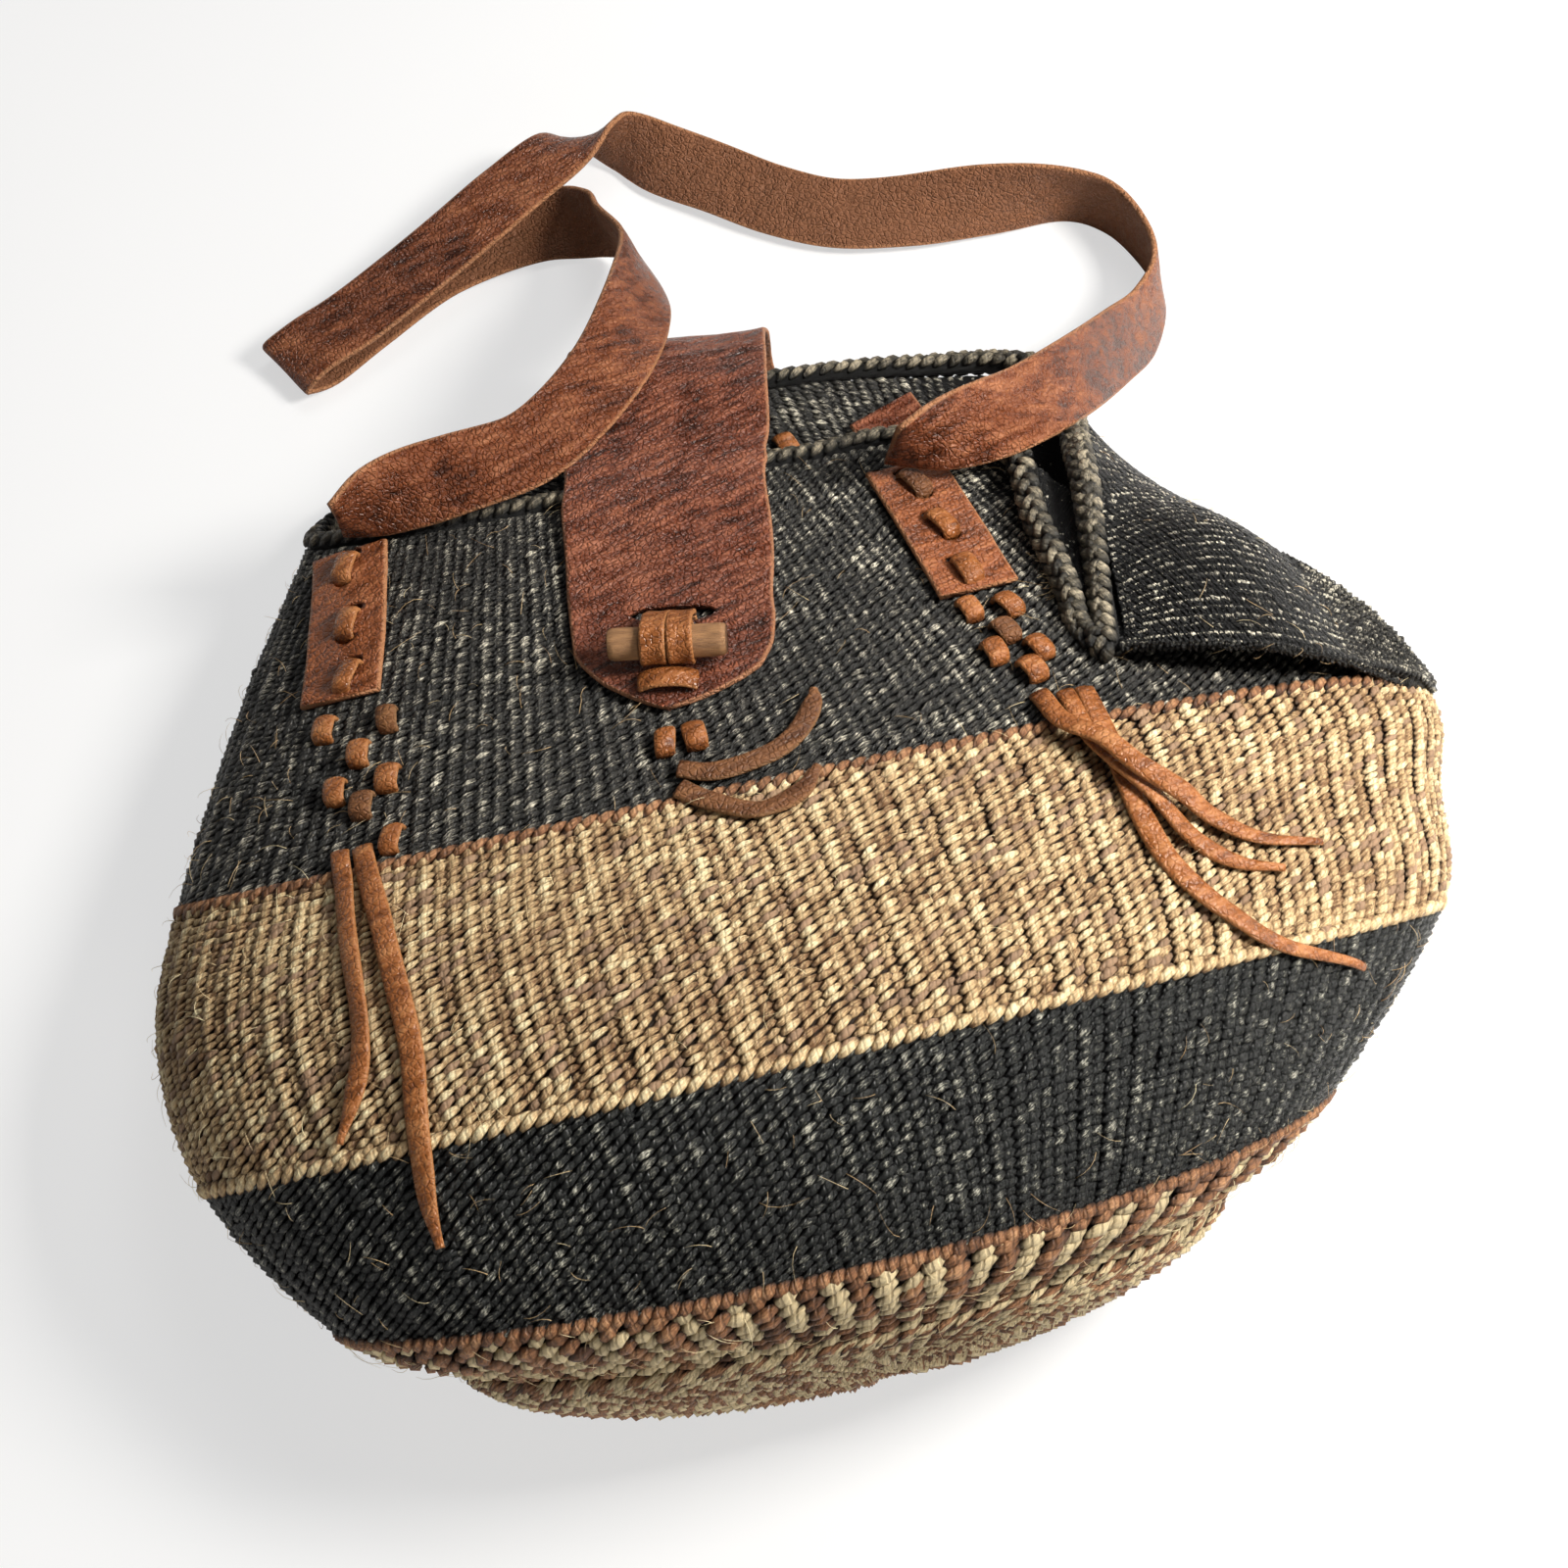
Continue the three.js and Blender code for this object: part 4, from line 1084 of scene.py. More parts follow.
@dataclass
class WovenBand:
    """Band of twined rows between two rows of the wall, over a dark core."""

    name: str
    low: float
    high: float
    rows: int
    finish: Finish
    slot: str
    node: str
    shade: float
    spread: float
    seed: int
    columns: int = 196
    even_row: float = 2.5
    inner_from: float = 9.0
    checks: int = 0
    check_slip: float = 0.1
    second: float = 0.0
    rib_every: float = 2.0
    rib_high: float = 0.5
    slant: float = 27.0
    thick: float = 2.6
    thin: float = 1.0
    half_range: tuple[float, float] = (1.7, 5.0)
    step_fill: float = 0.88
    row_fill: float = 0.56
    deep: float = 2.0
    sink: float = 1.05
    core_count: int = 180
    core_share: float = 0.6
    core_shade: float = 0.3
    core_map: tuple[float, float] = (1.7, 0.9)
    inner_gap: float = 1.3
    inner_crown: float = 0.55
    inner_seed: int = 50
    row_stray: float = 0.04
    step_stray: float = 0.06
    slant_stray: float = 5.0
    lift_stray: float = 0.12
    size_stray: float = 0.08
    drift: float = 1.2
    drift_spots: tuple[float, float] = (13.0, 15.0)
    fade: tuple[float, float] = (0.75, 0.7)
    fade_spots: tuple[float, float] = (9.0, 12.0)
    run_spots: tuple[float, float] = (1.2, 5.0)
    patch_spots: tuple[float, float] = (9.0, 9.0)
    shade_shares: Triple = (0.6, 0.35, 0.3)
    fold_calm: float = 0.85
    fold_short: float = 0.16
    fold_pale: float = 0.24
    piece_strands: int = 6300

    def core(self) -> StrandArrays:
        """Closed shell under the strands, from just below them to the inner face. Its outer face has a low
        shade and no crown, so it shows near the dark colour between the strands as painted shade; its inner
        face has a middling crown.

        Returns:
            Arrays for a mesh.
        """
        cols, steps = self.core_count, max(4, int(self.rows * self.core_share))
        angle = np.arange(cols) * 360 / cols
        row = np.linspace(self.low, self.high, steps)
        a, r = np.meshgrid(angle, row, indexing="ij")
        outer = BAG.off(a, r, np.full(a.shape, -self.deep))
        inner = BAG.off(a, r, -BAG.thick(a, r) + np.where(r > self.inner_from, self.inner_gap, 0.0))
        loop = np.concatenate([outer, inner[:, ::-1]], 1)
        count = loop.shape[1]
        # Low shade and no crown: the core shows dark between the strands as painted shade.
        tint = np.broadcast_to(np.array([self.core_shade, 0.0, 0.0, 1.0]), (cols, count, 4)).copy()
        tint[:, steps:, 2] = self.inner_crown
        uv = np.stack(np.indices((cols, count)), -1) * self.core_map
        return StrandArrays(loop, grid_faces(cols, count, True, True), uv, tint)

    def noise(self, col: Array, row: Array, size: tuple[float, float], number: int) -> Array:
        """Smooth noise over warps and rows, in spots of a size."""
        return spotted(col, row, size, self.seed + number)

    def strands(self, low: float, high: float, rows: int, inward: bool) -> list[StrandArrays]:
        """Rows of slanted strands, one over each warp, with ribs that come and go.

        Every strand's direction is the cosine of the slant round the bag plus its sine towards the mouth.
        Ribs raise the strands by a cosine over the warps, whose phase and height drift with smooth noise, and
        the same cosine lightens the strands on the rib crests and darkens them in the valleys: painted light
        and shade. On the folded corner the ribs are flat and the strands short and pale.

        Args:
            low: First row.
            high: Last row.
            rows: How many.
            inward: Whether they lie on the inner face.

        Returns:
            Arrays for one mesh or more.
        """
        rng = np.random.default_rng(self.seed + self.inner_seed * inward)
        base = BAG.even_angles(self.even_row, self.columns)
        step = np.diff(np.append(base, base[0] + 360))
        col, row_no = np.divmod(np.arange(self.columns * rows), rows)
        n = len(col)
        row_step = (high - low) / rows
        row = low + (row_no + 0.5) * row_step + rng.normal(0, self.row_stray, n) * row_step
        angle = base[col] + step[col] * (0.5 + rng.normal(0, self.step_stray, n))
        round_, along, normal = BAG.axes(angle, row)
        pitch = np.linalg.norm(round_, axis=-1) * step[col]
        rise = np.linalg.norm(along, axis=-1) * row_step
        slant = np.radians(self.slant + rng.normal(0, self.slant_stray, n))[:, None]
        way = turned(-unit(round_), unit(along), slant)
        drift = self.noise(col, row_no, self.drift_spots, 0) * self.drift
        fade = np.clip(self.fade[0] + self.fade[1] * self.noise(col, row_no, self.fade_spots, 1), 0, 1)
        wall = BAG.thick(angle, row)
        folded = (WALL - wall) / (WALL - FOLD_WALL)
        rib = np.cos(2 * np.pi * (col + drift) / self.rib_every) * fade * (1 - self.fold_calm * folded)
        lift = self.rib_high * rib + rng.normal(0, self.lift_stray, n)
        thick = np.clip(rise * self.row_fill, self.thin, self.thick) * (1 + rng.normal(0, self.size_stray, n))
        half = np.clip(pitch * (self.step_fill - self.fold_short * folded), *self.half_range)
        half = half * (1 + rng.normal(0, self.size_stray, n))
        sign = -1.0 if inward else 1.0
        depth = np.where(inward, wall, 0.0) + sign * (self.sink - lift)
        place = BAG.point(angle, row) - normal * depth[:, None]
        by_chance, by_run, by_patch = self.shade_shares
        runs = self.noise(col, row_no, self.run_spots, 3)
        # Shade of each strand: chance, runs and patches, plus the rib term, which is painted light on the
        # crests and painted shade in the valleys.
        stray = (by_chance * rng.normal(0, 1.0, n) + by_run * runs + self.rib_high * rib
                 + by_patch * self.noise(col, row_no, self.patch_spots, 4))
        shade = np.clip(self.shade + self.spread * stray + self.fold_pale * folded, 0, 1)
        kind = (rng.uniform(0, 1, n) < self.second * (1 + runs)).astype(float)
        if self.checks:
            slip = rng.uniform(0, 1, n) < self.check_slip
            kind = (col + (rows - 1 - row_no) // self.checks + slip) % 2 * 1.0
        share = np.array_split(np.arange(n), math.ceil(n / self.piece_strands))
        return [Strands().mesh(place[k], way[k], sign * normal[k], half[k], thick[k], shade[k], kind[k],
                               self.seed + i) for i, k in enumerate(share)]

    def build(self) -> None:
        """Makes the band with its inner rows and puts it on the bag, in pieces of a fair size."""
        outer = self.strands(self.low, self.high, self.rows, False)
        inner = []
        if self.inner_from < self.high:
            share = (self.high - self.inner_from) / (self.high - self.low)
            inner = self.strands(self.inner_from, self.high, int(self.rows * share), True)
        pieces = {"core": self.core()}
        pieces.update({f"inner_{i + 1}": part for i, part in enumerate(inner)})
        pieces.update({f"{i + 1}": part for i, part in enumerate(outer)})
        for end, part in pieces.items():
            nodes = [self.node] if self.node and end == "1" else []
            settle(part.piece(f"{self.name}_{end}"), "bag", self.slot, self.finish, *nodes)


@dataclass
class DividerRow:
    """Single thick twisted row where two bands meet."""

    name: str
    row: float
    shade: float
    finish: Finish = Finish.MARL
    slot: str = "sisal_marl"
    count: int = 190
    thick: float = 1.9
    overlap: float = 0.95
    slant: float = 32.0
    slant_stray: float = 3.0
    sink: float = 0.35
    sink_stray: float = 0.08
    shade_stray: float = 0.16
    seed: int = 31

    def build(self) -> None:
        """Lays strands end over end along the row, each slanted to the mouth."""
        rng = np.random.default_rng(self.seed)
        angle = BAG.even_angles(self.row, self.count)
        row = np.full(self.count, self.row)
        round_, along, normal = BAG.axes(angle, row)
        pitch = np.linalg.norm(np.roll(BAG.point(angle, row), -1, 0) - BAG.point(angle, row), axis=1)
        slant = np.radians(self.slant + rng.normal(0, self.slant_stray, self.count))[:, None]
        way = turned(-unit(round_), unit(along), slant)
        place = BAG.off(angle, row, -self.sink + rng.normal(0, self.sink_stray, self.count))
        shade = np.clip(self.shade + rng.normal(0, self.shade_stray, self.count), 0, 1)
        made = Strands(rings=LONG_RINGS).mesh(place, way, normal, pitch * self.overlap,
                                              np.full(self.count, self.thick), shade, 0 * shade, self.seed)
        settle(made.piece(self.name), "bag", self.slot, self.finish)


@dataclass
class Rim:
    """Rolled edge of the mouth: rows of fat strands slanted to and fro over a core."""

    count: int = 150
    turns: tuple[float, ...] = (102.0, 56.0, 12.0, -32.0, -78.0)
    thick: float = 2.0
    swell: float = 0.72
    press: float = 0.5
    overlap: float = 0.78
    half_range: tuple[float, float] = (2.6, 4.6)
    slant: float = 34.0
    slant_stray: float = 5.0
    step_stray: float = 0.06
    shade: float = 0.6
    shade_stray: float = 0.22
    core_count: int = 240
    core_sides: int = 12
    core_shadow_tint: tuple[float, ...] = (0.3, 0.0, 0.1, 1.0)
    core_map: tuple[float, float] = (0.5, 3.0)
    seed: int = 71

    def section(self, angle: Array, turn: Array) -> tuple[Array, ...]:
        """Points of the rim's oval section: cosine of the turn times the depth plus its sine times the width.

        Args:
            angle: Angles round the bag in degrees.
            turn: Turns from the section's top in radians.

        Returns:
            Points, direction round the bag, direction out, direction over the rim, and how far it is pressed.
        """
        row = np.full(angle.shape, RIM_ROW - NUDGE)
        round_, along, normal = BAG.axes(angle, row)
        up = unit(along)
        press = 1.0 + self.press * (1 - BAG.thick(angle, row + NUDGE)[..., None] / WALL)
        middle = (BAG.point(angle, row + NUDGE) + up * (SEAT + RIM_DEEP / 2 * press)
                  - normal * BAG.thick(angle, row)[..., None] / 2)
        c, s = np.cos(turn)[..., None], np.sin(turn)[..., None]
        out = up * c + normal * s
        place = middle + self.swell * press * (up * c * RIM_DEEP / 2 + normal * s * RIM_WIDE / 2)
        return place, unit(round_), out, np.cross(unit(round_), out), press[..., 0]

    def core(self) -> StrandArrays:
        """Closed roll under the strands, tinted near the dark colour so that it shows as painted shade
        between them.

        Returns:
            Arrays for a mesh.
        """
        angle = np.arange(self.core_count) * 360 / self.core_count
        turn = np.linspace(0, 2 * np.pi, self.core_sides + 1)[:-1]
        a, t = np.meshgrid(angle, turn, indexing="ij")
        # Dark tint with almost no crown: painted shade between the rim's strands.
        tint = np.broadcast_to(np.array(self.core_shadow_tint), (*a.shape, 4))
        uv = np.stack([a, t], -1) * self.core_map
        return StrandArrays(self.section(a, t)[0], grid_faces(*a.shape, True, True), uv, tint)

    def build(self) -> None:
        """Makes core and strands, each row half a step on from the last and slanted the other way."""
        rng = np.random.default_rng(self.seed)
        parts = [self.core()]
        angles = BAG.even_angles(RIM_ROW, self.count)
        step = np.diff(np.append(angles, angles[0] + 360))
        top = np.full(self.count, RIM_ROW)
        pitch = np.linalg.norm(BAG.point(angles + step, top) - BAG.point(angles, top), axis=1)
        half = np.clip(pitch * self.overlap, *self.half_range)
        for i, turn in enumerate(self.turns):
            odd = i % 2
            here = angles + step * (0.5 * odd + rng.normal(0, self.step_stray, self.count))
            place, round_, out, side, press = self.section(here, np.full(self.count, np.radians(turn)))
            lean = self.slant if odd else -self.slant
            slant = np.radians(lean + rng.normal(0, self.slant_stray, self.count))[:, None]
            shade = np.clip(self.shade + rng.normal(0, self.shade_stray, self.count), 0, 1)
            parts.append(Strands(rings=LONG_RINGS).mesh(place, turned(round_, side, slant), out, half,
                                                        self.thick * press, shade, 0 * shade, self.seed + i))
        settle(StrandArrays.joined(parts).piece("rim"), "bag", "sisal_dark", Finish.EDGE, "rim_braid")


@dataclass
class Fuzz:
    """Loose fibres that stand off the weave, with a tuft at the folded corner."""

    count: int = 1700
    tuft: int = 110
    tuft_angle: float = 20.5
    tuft_spread: float = 1.6
    tuft_row: float = 6.05
    long: tuple[float, float] = (3.0, 10.0)
    high: tuple[float, float] = (0.25, 0.8)
    droop: float = 1.35
    bend: float = 0.5
    sink: float = 0.3
    thick: float = 0.11
    thin: float = 0.07
    points: int = 5
    sides: int = 3
    shades: tuple[float, float] = (0.8, 0.45)
    shade_stray: float = 0.1
    map_reach: float = 50.0
    seed: int = 91

    def build(self) -> None:
        """Bends thin three-sided fibres out of the wall: a parabola out and sideways from each root."""
        rng = np.random.default_rng(self.seed)
        n = self.count
        angle, row = rng.uniform(0, 360, n), rng.uniform(0.0, RIM_ROW, n)
        angle[:self.tuft] = rng.normal(self.tuft_angle, self.tuft_spread, self.tuft)
        row[:self.tuft] = self.tuft_row
        round_, along, normal = BAG.axes(angle, row)
        side = turned(unit(round_), unit(along), rng.uniform(0, 2 * np.pi, n)[:, None])
        cross = np.cross(normal, side)
        bend = cross * rng.normal(0, self.bend, n)[:, None]
        long = rng.uniform(*self.long, n)[:, None, None]
        high = rng.uniform(*self.high, n)[:, None, None]
        t = np.linspace(0, 1, self.points)[None, :, None]
        root = BAG.off(angle, row, np.full(n, -self.sink))[:, None]
        out = normal[:, None] * high * t * (self.droop - t)
        line = root + long * (side[:, None] * t + out + bend[:, None] * t * t)
        turn = np.arange(self.sides) * 2 * np.pi / self.sides
        spoke = turned(normal[:, None], cross[:, None], turn[:, None])
        verts = line[:, :, None] + spoke[:, None] * (self.thick - self.thin * t)[..., None]
        each = self.points * self.sides
        last = each - self.sides
        tris = np.array([[0, 2, 1], [last, last + 1, last + 2]])
        on_pale = (row > PALE_ROW) & (row < DARK_ROW) | (row < BASE_ROW)
        pale = np.where(on_pale, *self.shades) + rng.normal(0, self.shade_stray, n)
        one = np.ones(n)
        tint = np.broadcast_to(np.stack([pale, 0 * one, one, one], -1)[:, None], (n, each, 4))
        uv = np.broadcast_to(rng.uniform(0, self.map_reach, (n, 1, 2)), (n, each, 2))
        quads = grid_faces(self.points, self.sides, wrap_cols=True)
        made = StrandArrays(verts, repeated(quads, each, n), uv, tint, repeated(tris, each, n))
        settle(made.piece("loose_fibres"), "bag", "sisal_natural", Finish.NATURAL)


def wall_sheet(keys: list[tuple[float, ...]], steps: int, cols: int, width: Array | float,
               lift: Array | float) -> Array:
    """Grid of points lying on the wall along a route, each station spread sideways over the wall.

    Args:
        keys: Route on the wall.
        steps: Steps along it.
        cols: Points across.
        width: Width at each station or all along.
        lift: Height off the wall at each station or all along.

    Returns:
        Points, along by across.
    """
    angle, row, _, _, _, across = BAG.route(keys, steps)
    width, lift = (np.broadcast_to(np.asarray(v, float), steps + 1)[:, None] for v in (width, lift))
    away = np.linspace(-1, 1, cols)[None] * width / 2
    a, r = BAG.side_step(angle[:, None], row[:, None], across[:, None], away)
    return BAG.off(a, r, np.broadcast_to(lift, a.shape))


def cut(piece: bpy.types.Object, cutter: bpy.types.Object) -> bpy.types.Object:
    """Cuts one closed mesh out of another and removes the cutter.

    Args:
        piece: The piece.
        cutter: What is cut out of it.

    Returns:
        The piece with its new mesh.
    """
    change = piece.modifiers.new("cut", "BOOLEAN")
    change.operation = "DIFFERENCE"
    change.solver = "EXACT"
    change.use_self = True
    change.object = cutter
    graph = bpy.context.evaluated_depsgraph_get()
    made = bpy.data.meshes.new_from_object(piece.evaluated_get(graph), depsgraph=graph)
    old = piece.data
    piece.modifiers.clear()
    piece.data = made
    made.name = old.name
    bpy.data.meshes.remove(old)
    bpy.data.objects.remove(cutter)
    return piece


def oval_cutter(places: list[tuple[Array, Array]], half: tuple[float, float],
                deep: float) -> bpy.types.Object:
    """Upright oval prisms as one mesh for cutting, their radius swelling a little with a sine of three waves.

    Args:
        places: Origin and axes of each prism.
        half: Half width and half length.
        deep: Reach above and below the origin.

    Returns:
        The cutter.
    """
    turn = np.arange(HOLE_SIDES) * 2 * np.pi / HOLE_SIDES
    wave = 1 + HOLE_WAVE * np.sin(3 * turn)
    ring = np.stack([half[0] * np.cos(turn) * wave, half[1] * np.sin(turn) * wave, 0 * turn], -1)
    tube = np.concatenate([ring + [0, 0, -deep], ring + [0, 0, deep], [[0, 0, -deep], [0, 0, deep]]])
    verts = np.concatenate([origin + tube @ axes for origin, axes in places])
    quads, tris = (repeated(faces, len(tube), len(places)) for faces in capped(2, HOLE_SIDES))
    return mesh_object("cutter", verts, quads, tris)


@dataclass
class Flap:
    """Leather flap from inside the back wall over the mouth to a rounded tip on the front."""

    steps: int = 110
    over_steps: int = 70
    cols: int = 33
    tip_power: float = 0.8
    tip_least: float = 0.03
    rise: tuple[float, float] = (0.7, 0.97)
    firm: tuple[float, float] = (0.4, 0.7)
    lead: float = 18.0
    even_spread: int = 9
    even_line: int = 17
    lean: float = 18.0
    calm: float = 32.0
    turn_from: float = 0.4
    crease: float = 0.6
    crease_spots: tuple[float, float] = (4.5, 26.0)
    fold_spots: tuple[float, float] = (9.0, 40.0)
    wave: float = 0.6
    wave_least: float = -0.2
    wave_spots: tuple[float, float] = (24.0, 22.0)
    curl: float = 0.9
    free: tuple[float, float] = (2.0, 26.0)
    strap_side: float = 0.6
    slit_deep: float = 9.0
    slit_share: float = 0.7
    bend_back: float = 10.0
    bend_front: float = 7.0
    seed: int = 5

    def middle(self) -> tuple[Array, Array, Array]:
        """Middle surface from tip to root.

        The front lies on the wall and rises over the rim; it widens evenly to the hinge, and at the tip by
        a sine of the way along it to a power. The rest is carried along a smooth line over the mouth to the
        back wall's outer side.

        Returns:
            Points, along by across, then the hinge point and the direction of the flap there.
        """
        u = np.linspace(0, 1, self.steps + 1)
        angle, row, _, way, _, across = BAG.route(FLAP_ROUTE, self.steps)
        run = run_along(BAG.point(angle, row))
        tip = np.sin(np.minimum(run / FLAP_TIP, 1) ** self.tip_power * np.pi / 2)
        width = (FLAP_LOW_WIDE + (FLAP_WIDE - FLAP_LOW_WIDE) * u) * np.maximum(tip, self.tip_least)
        lift = SEAT + (RIM_WIDE - WALL) / 2 * ease(u, *self.rise)
        front = wall_sheet(FLAP_ROUTE, self.steps, self.cols, width, lift + LEATHER / 2)
        top = BAG.off(angle[-1:], row[-1:], lift[-1:] + LEATHER / 2)[0]
        hinge = top + way[-1] * HINGE_CLEAR
        rows, lifts = np.array(FLAP_ROOT).T
        root = BAG.off(np.full(len(rows), FLAP_BACK_ANGLE), rows, SEAT + lifts + LEATHER / 2)
        keys = np.vstack([root, FLAP_OVER, hinge + way[-1] * self.lead, hinge + way[-1] * SEAT])
        k = np.linspace(0, len(keys) - 1, self.over_steps)
        line = spline(keys, k)
        root_side = -unit(BAG.axes(np.array([FLAP_BACK_ANGLE]), rows[1:2])[0])[0]
        turn = ease(k / k[-1], self.turn_from, 1)[:, None]
        side = root_side * (1 - turn) + across[-1] * turn
        side = square_to(side, unit(np.gradient(line, axis=0)))
        share = np.linspace(-1, 1, self.cols)
        over = line[:, None] + side[:, None] * share[None, :, None] * FLAP_WIDE / 2
        return self.evened(np.concatenate([front[:-2], over[::-1]])), hinge, way[-1]

    def beyond_tip(self, count: int) -> Array:
        """Rise from 0 at the tip to 1 over the rest of the flap, at each station."""
        low, high = self.firm
        return ease(np.arange(count), self.steps * low, self.steps * high)

    def evened(self, grid: Array) -> Array:
        """Grid with smooth edges.

        Beyond the tip the places along x and the sideways spread are averaged along the flap, so that the
        edges run on straight over the bend.

        Args:
            grid: Points, along by across.

        Returns:
            The evened points.
        """
        keep = self.beyond_tip(len(grid))[:, None, None]
        centre = grid[:, self.cols // 2][:, None]
        spread = grid - centre
        made = centre + spread + (self.mean(spread, self.even_spread) - spread) * keep
        made[..., :1] += (self.mean(made[..., :1], self.even_line) - made[..., :1]) * keep
        return made

    @staticmethod
    def mean(rows: Array, reach: int) -> Array:
        """Running mean of rows over a reach to both sides."""
        padded = np.concatenate([rows[:1].repeat(reach, 0), rows, rows[-1:].repeat(reach, 0)])
        return sum(padded[k:k + len(rows)] for k in range(2 * reach + 1)) / (2 * reach + 1)

    def wrinkles(self, grid: Array) -> Array:
        """Height of the wrinkles over the sheet.

        Slanting creases are the absolute value of noise stretched along a lean, broad waves are plain noise,
        and the edges curl up with the sixth power of the way across. All is calm under the toggle and by the
        strap.

        Args:
            grid: Points, along by across.

        Returns:
            One height per point.
        """
        n, m = grid.shape[:2]
        run = run_along(grid[:, m // 2])[:, None]
        share = np.linspace(-1, 1, m)
        away = share[None] * FLAP_WIDE / 2
        c, s = math.cos(math.radians(self.lean)), math.sin(math.radians(self.lean))
        over, along = run * c + away * s, run * s - away * c
        crease = np.abs(spotted(over, along, self.crease_spots, self.seed))
        crease = crease + np.abs(spotted(over, along, self.fold_spots, self.seed + 3))
        wave = np.maximum(spotted(run, away, self.wave_spots, self.seed + 1), self.wave_least)
        edge = np.abs(share)[None, :] ** 6
        free = ease(np.arange(n), *self.free)[:, None]
        high = self.crease * crease + self.wave * wave * free + self.curl * edge * free
        near = np.linalg.norm(grid - Toggle.axes()[0], axis=-1) / self.calm
        by_strap = ease(share, 0, self.strap_side)[None] * self.beyond_tip(n)[:, None]
        return high * ((1 - np.exp(-near ** 4)) * (1 - by_strap))

    def build(self) -> None:
        """Wrinkles the sheet and cuts the toggle's slit."""
        grid, hinge, way = self.middle()
        piece = band_object("flap", grid + sheet_normal(grid) * self.wrinkles(grid)[..., None], LEATHER)
        origin, axes = Toggle.axes()
        place = origin + np.array([0, SLIT_FROM_DOWEL + SLIT_WIDE / 4, 0]) @ axes
        half = (SLIT_LONG / 2, SLIT_WIDE * self.slit_share)
        piece = cut(piece, oval_cutter([(place, axes)], half, self.slit_deep))
        Finish.LEATHER.dress(piece)
        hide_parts("flap_front", "flap_back")
        start, end = hinge + way * self.bend_back, hinge - way * self.bend_front
        tuple(start * MM)
        tuple(end * MM)
        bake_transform(piece)
        LOG.info("flap: %d faces", len(piece.data.polygons))


def lace_band(line: Array, across: Array | Triple, width: Array | float, crown: float = 0.45,
              cols: int = 7) -> Array:
    """Middle surface of a lace: stations spread sideways, with a crown of one minus the square across.

    Args:
        line: Middle line.
        across: Sideways direction at each station or all along.
        width: Width at each station or all along.
        crown: How far the middle stands up.
        cols: Points across.

    Returns:
        Points, along by across.
    """
    step = unit(np.gradient(line, axis=0))
    across = square_to(np.broadcast_to(across, line.shape), step)
    share = np.linspace(-1, 1, cols)[None, :, None]
    half = np.broadcast_to(np.asarray(width, float), len(line))[:, None, None] / 2
    rise = np.cross(step, across)[:, None] * crown * (1 - share ** 2)
    return line[:, None] + across[:, None] * share * half + rise


@dataclass
class Stitches:
    """Lace stitches: short arches of lace whose ends go into the wall."""

    rise: float = 1.3
    steps: int = 17
    over: float = 1.2
    bow: float = 0.85
    dip: float = 1.0
    dip_from: float = 0.8
    wall_dip: float = 0.8
    lean: float = 0.1
    wide: float = 0.94
    wide_stray: float = 0.05
    waist: float = 0.1
    thin: float = 0.9
    back_seed: int = 41

    def arch(self, long: float, deep: float) -> Array:
        """Side view of a stitch: one minus the cube of the way from its middle, its ends turned down.

        Args:
            long: Length.
            deep: How far the ends go down.

        Returns:
            Points of the middle line, in the stitch's frame.
        """
        t = np.linspace(-1, 1, self.steps)
        far = np.abs(t)
        y = np.sign(t) * far ** self.bow * (long - LACE_THICK) / 2
        down = (deep + self.dip) * ease(far, self.dip_from, 1.0)
        z = LACE_THICK / 2 + self.rise * np.maximum(0, 1 - far ** 3) - down
        return np.stack([0 * t, y, z], -1)

    def one(self, node: str, long: float, deep: float, origin: Array, axes: Array, seed: int) -> None:
        """Makes one stitch, a little leaning and narrower at its ends.

        Args:
            node: Solid that it stands for.
            long: Length.
            deep: How far its ends go down.
            origin: Origin of its frame.
            axes: Axes of its frame.
            seed: Which stitch; every fourth is dark.
        """
        rng = np.random.default_rng(seed)
        lean = rng.normal(0, self.lean)
        line = self.arch(long + self.over, deep)
        line[:, 0] += lean * line[:, 1]
        slim = 1 - self.waist * np.linspace(-1, 1, self.steps) ** 2
        wide = self.wide * LACE_WIDE * (1 + rng.normal(0, self.wide_stray)) * slim
        grid = origin + lace_band(line, (-1.0, 0.0, 0.0), wide) @ axes
        settle(band_object("lace_" + node, grid, LACE_THICK * self.thin), "bag", "lace",
               Finish.LACE if seed % 4 else Finish.DARK_LACE, node)

    def build(self) -> None:
        """Makes every stitch on tabs, wall and behind the flap."""
        kinds = (("tab", TAB_STITCHES, TAB_STITCH, LEATHER, SEAT + LEATHER),
                 ("wall", WALL_STITCHES, WALL_STITCH, self.wall_dip, SEAT))
        seed = 0
        for kind, sides, long, deep, lift in kinds:
            for side, places in sides.items():
                for i, (angle, row) in enumerate(places):
                    seed += 1
                    frame_here = BAG.standing(angle, row, lift)
                    self.one(f"{kind}_stitch_{side}_{i + 1}", long, deep, *frame_here, seed)
        for i, (angle, row) in enumerate(TOGGLE_STITCHES):
            frame_here = BAG.standing(angle, row, SEAT)
            self.one(f"toggle_stitch_{i + 1}", WALL_STITCH, self.wall_dip, *frame_here, 4 * i + 3)
        for side, (angle, row) in FLAP_LACES.items():
            origin, axes = BAG.standing(angle, row, -(WALL + SEAT))
            inward = axes * [[-1], [1], [-1]]
            self.one(f"flap_lace_{side}", TAB_STITCH, self.wall_dip, origin, inward, self.back_seed)


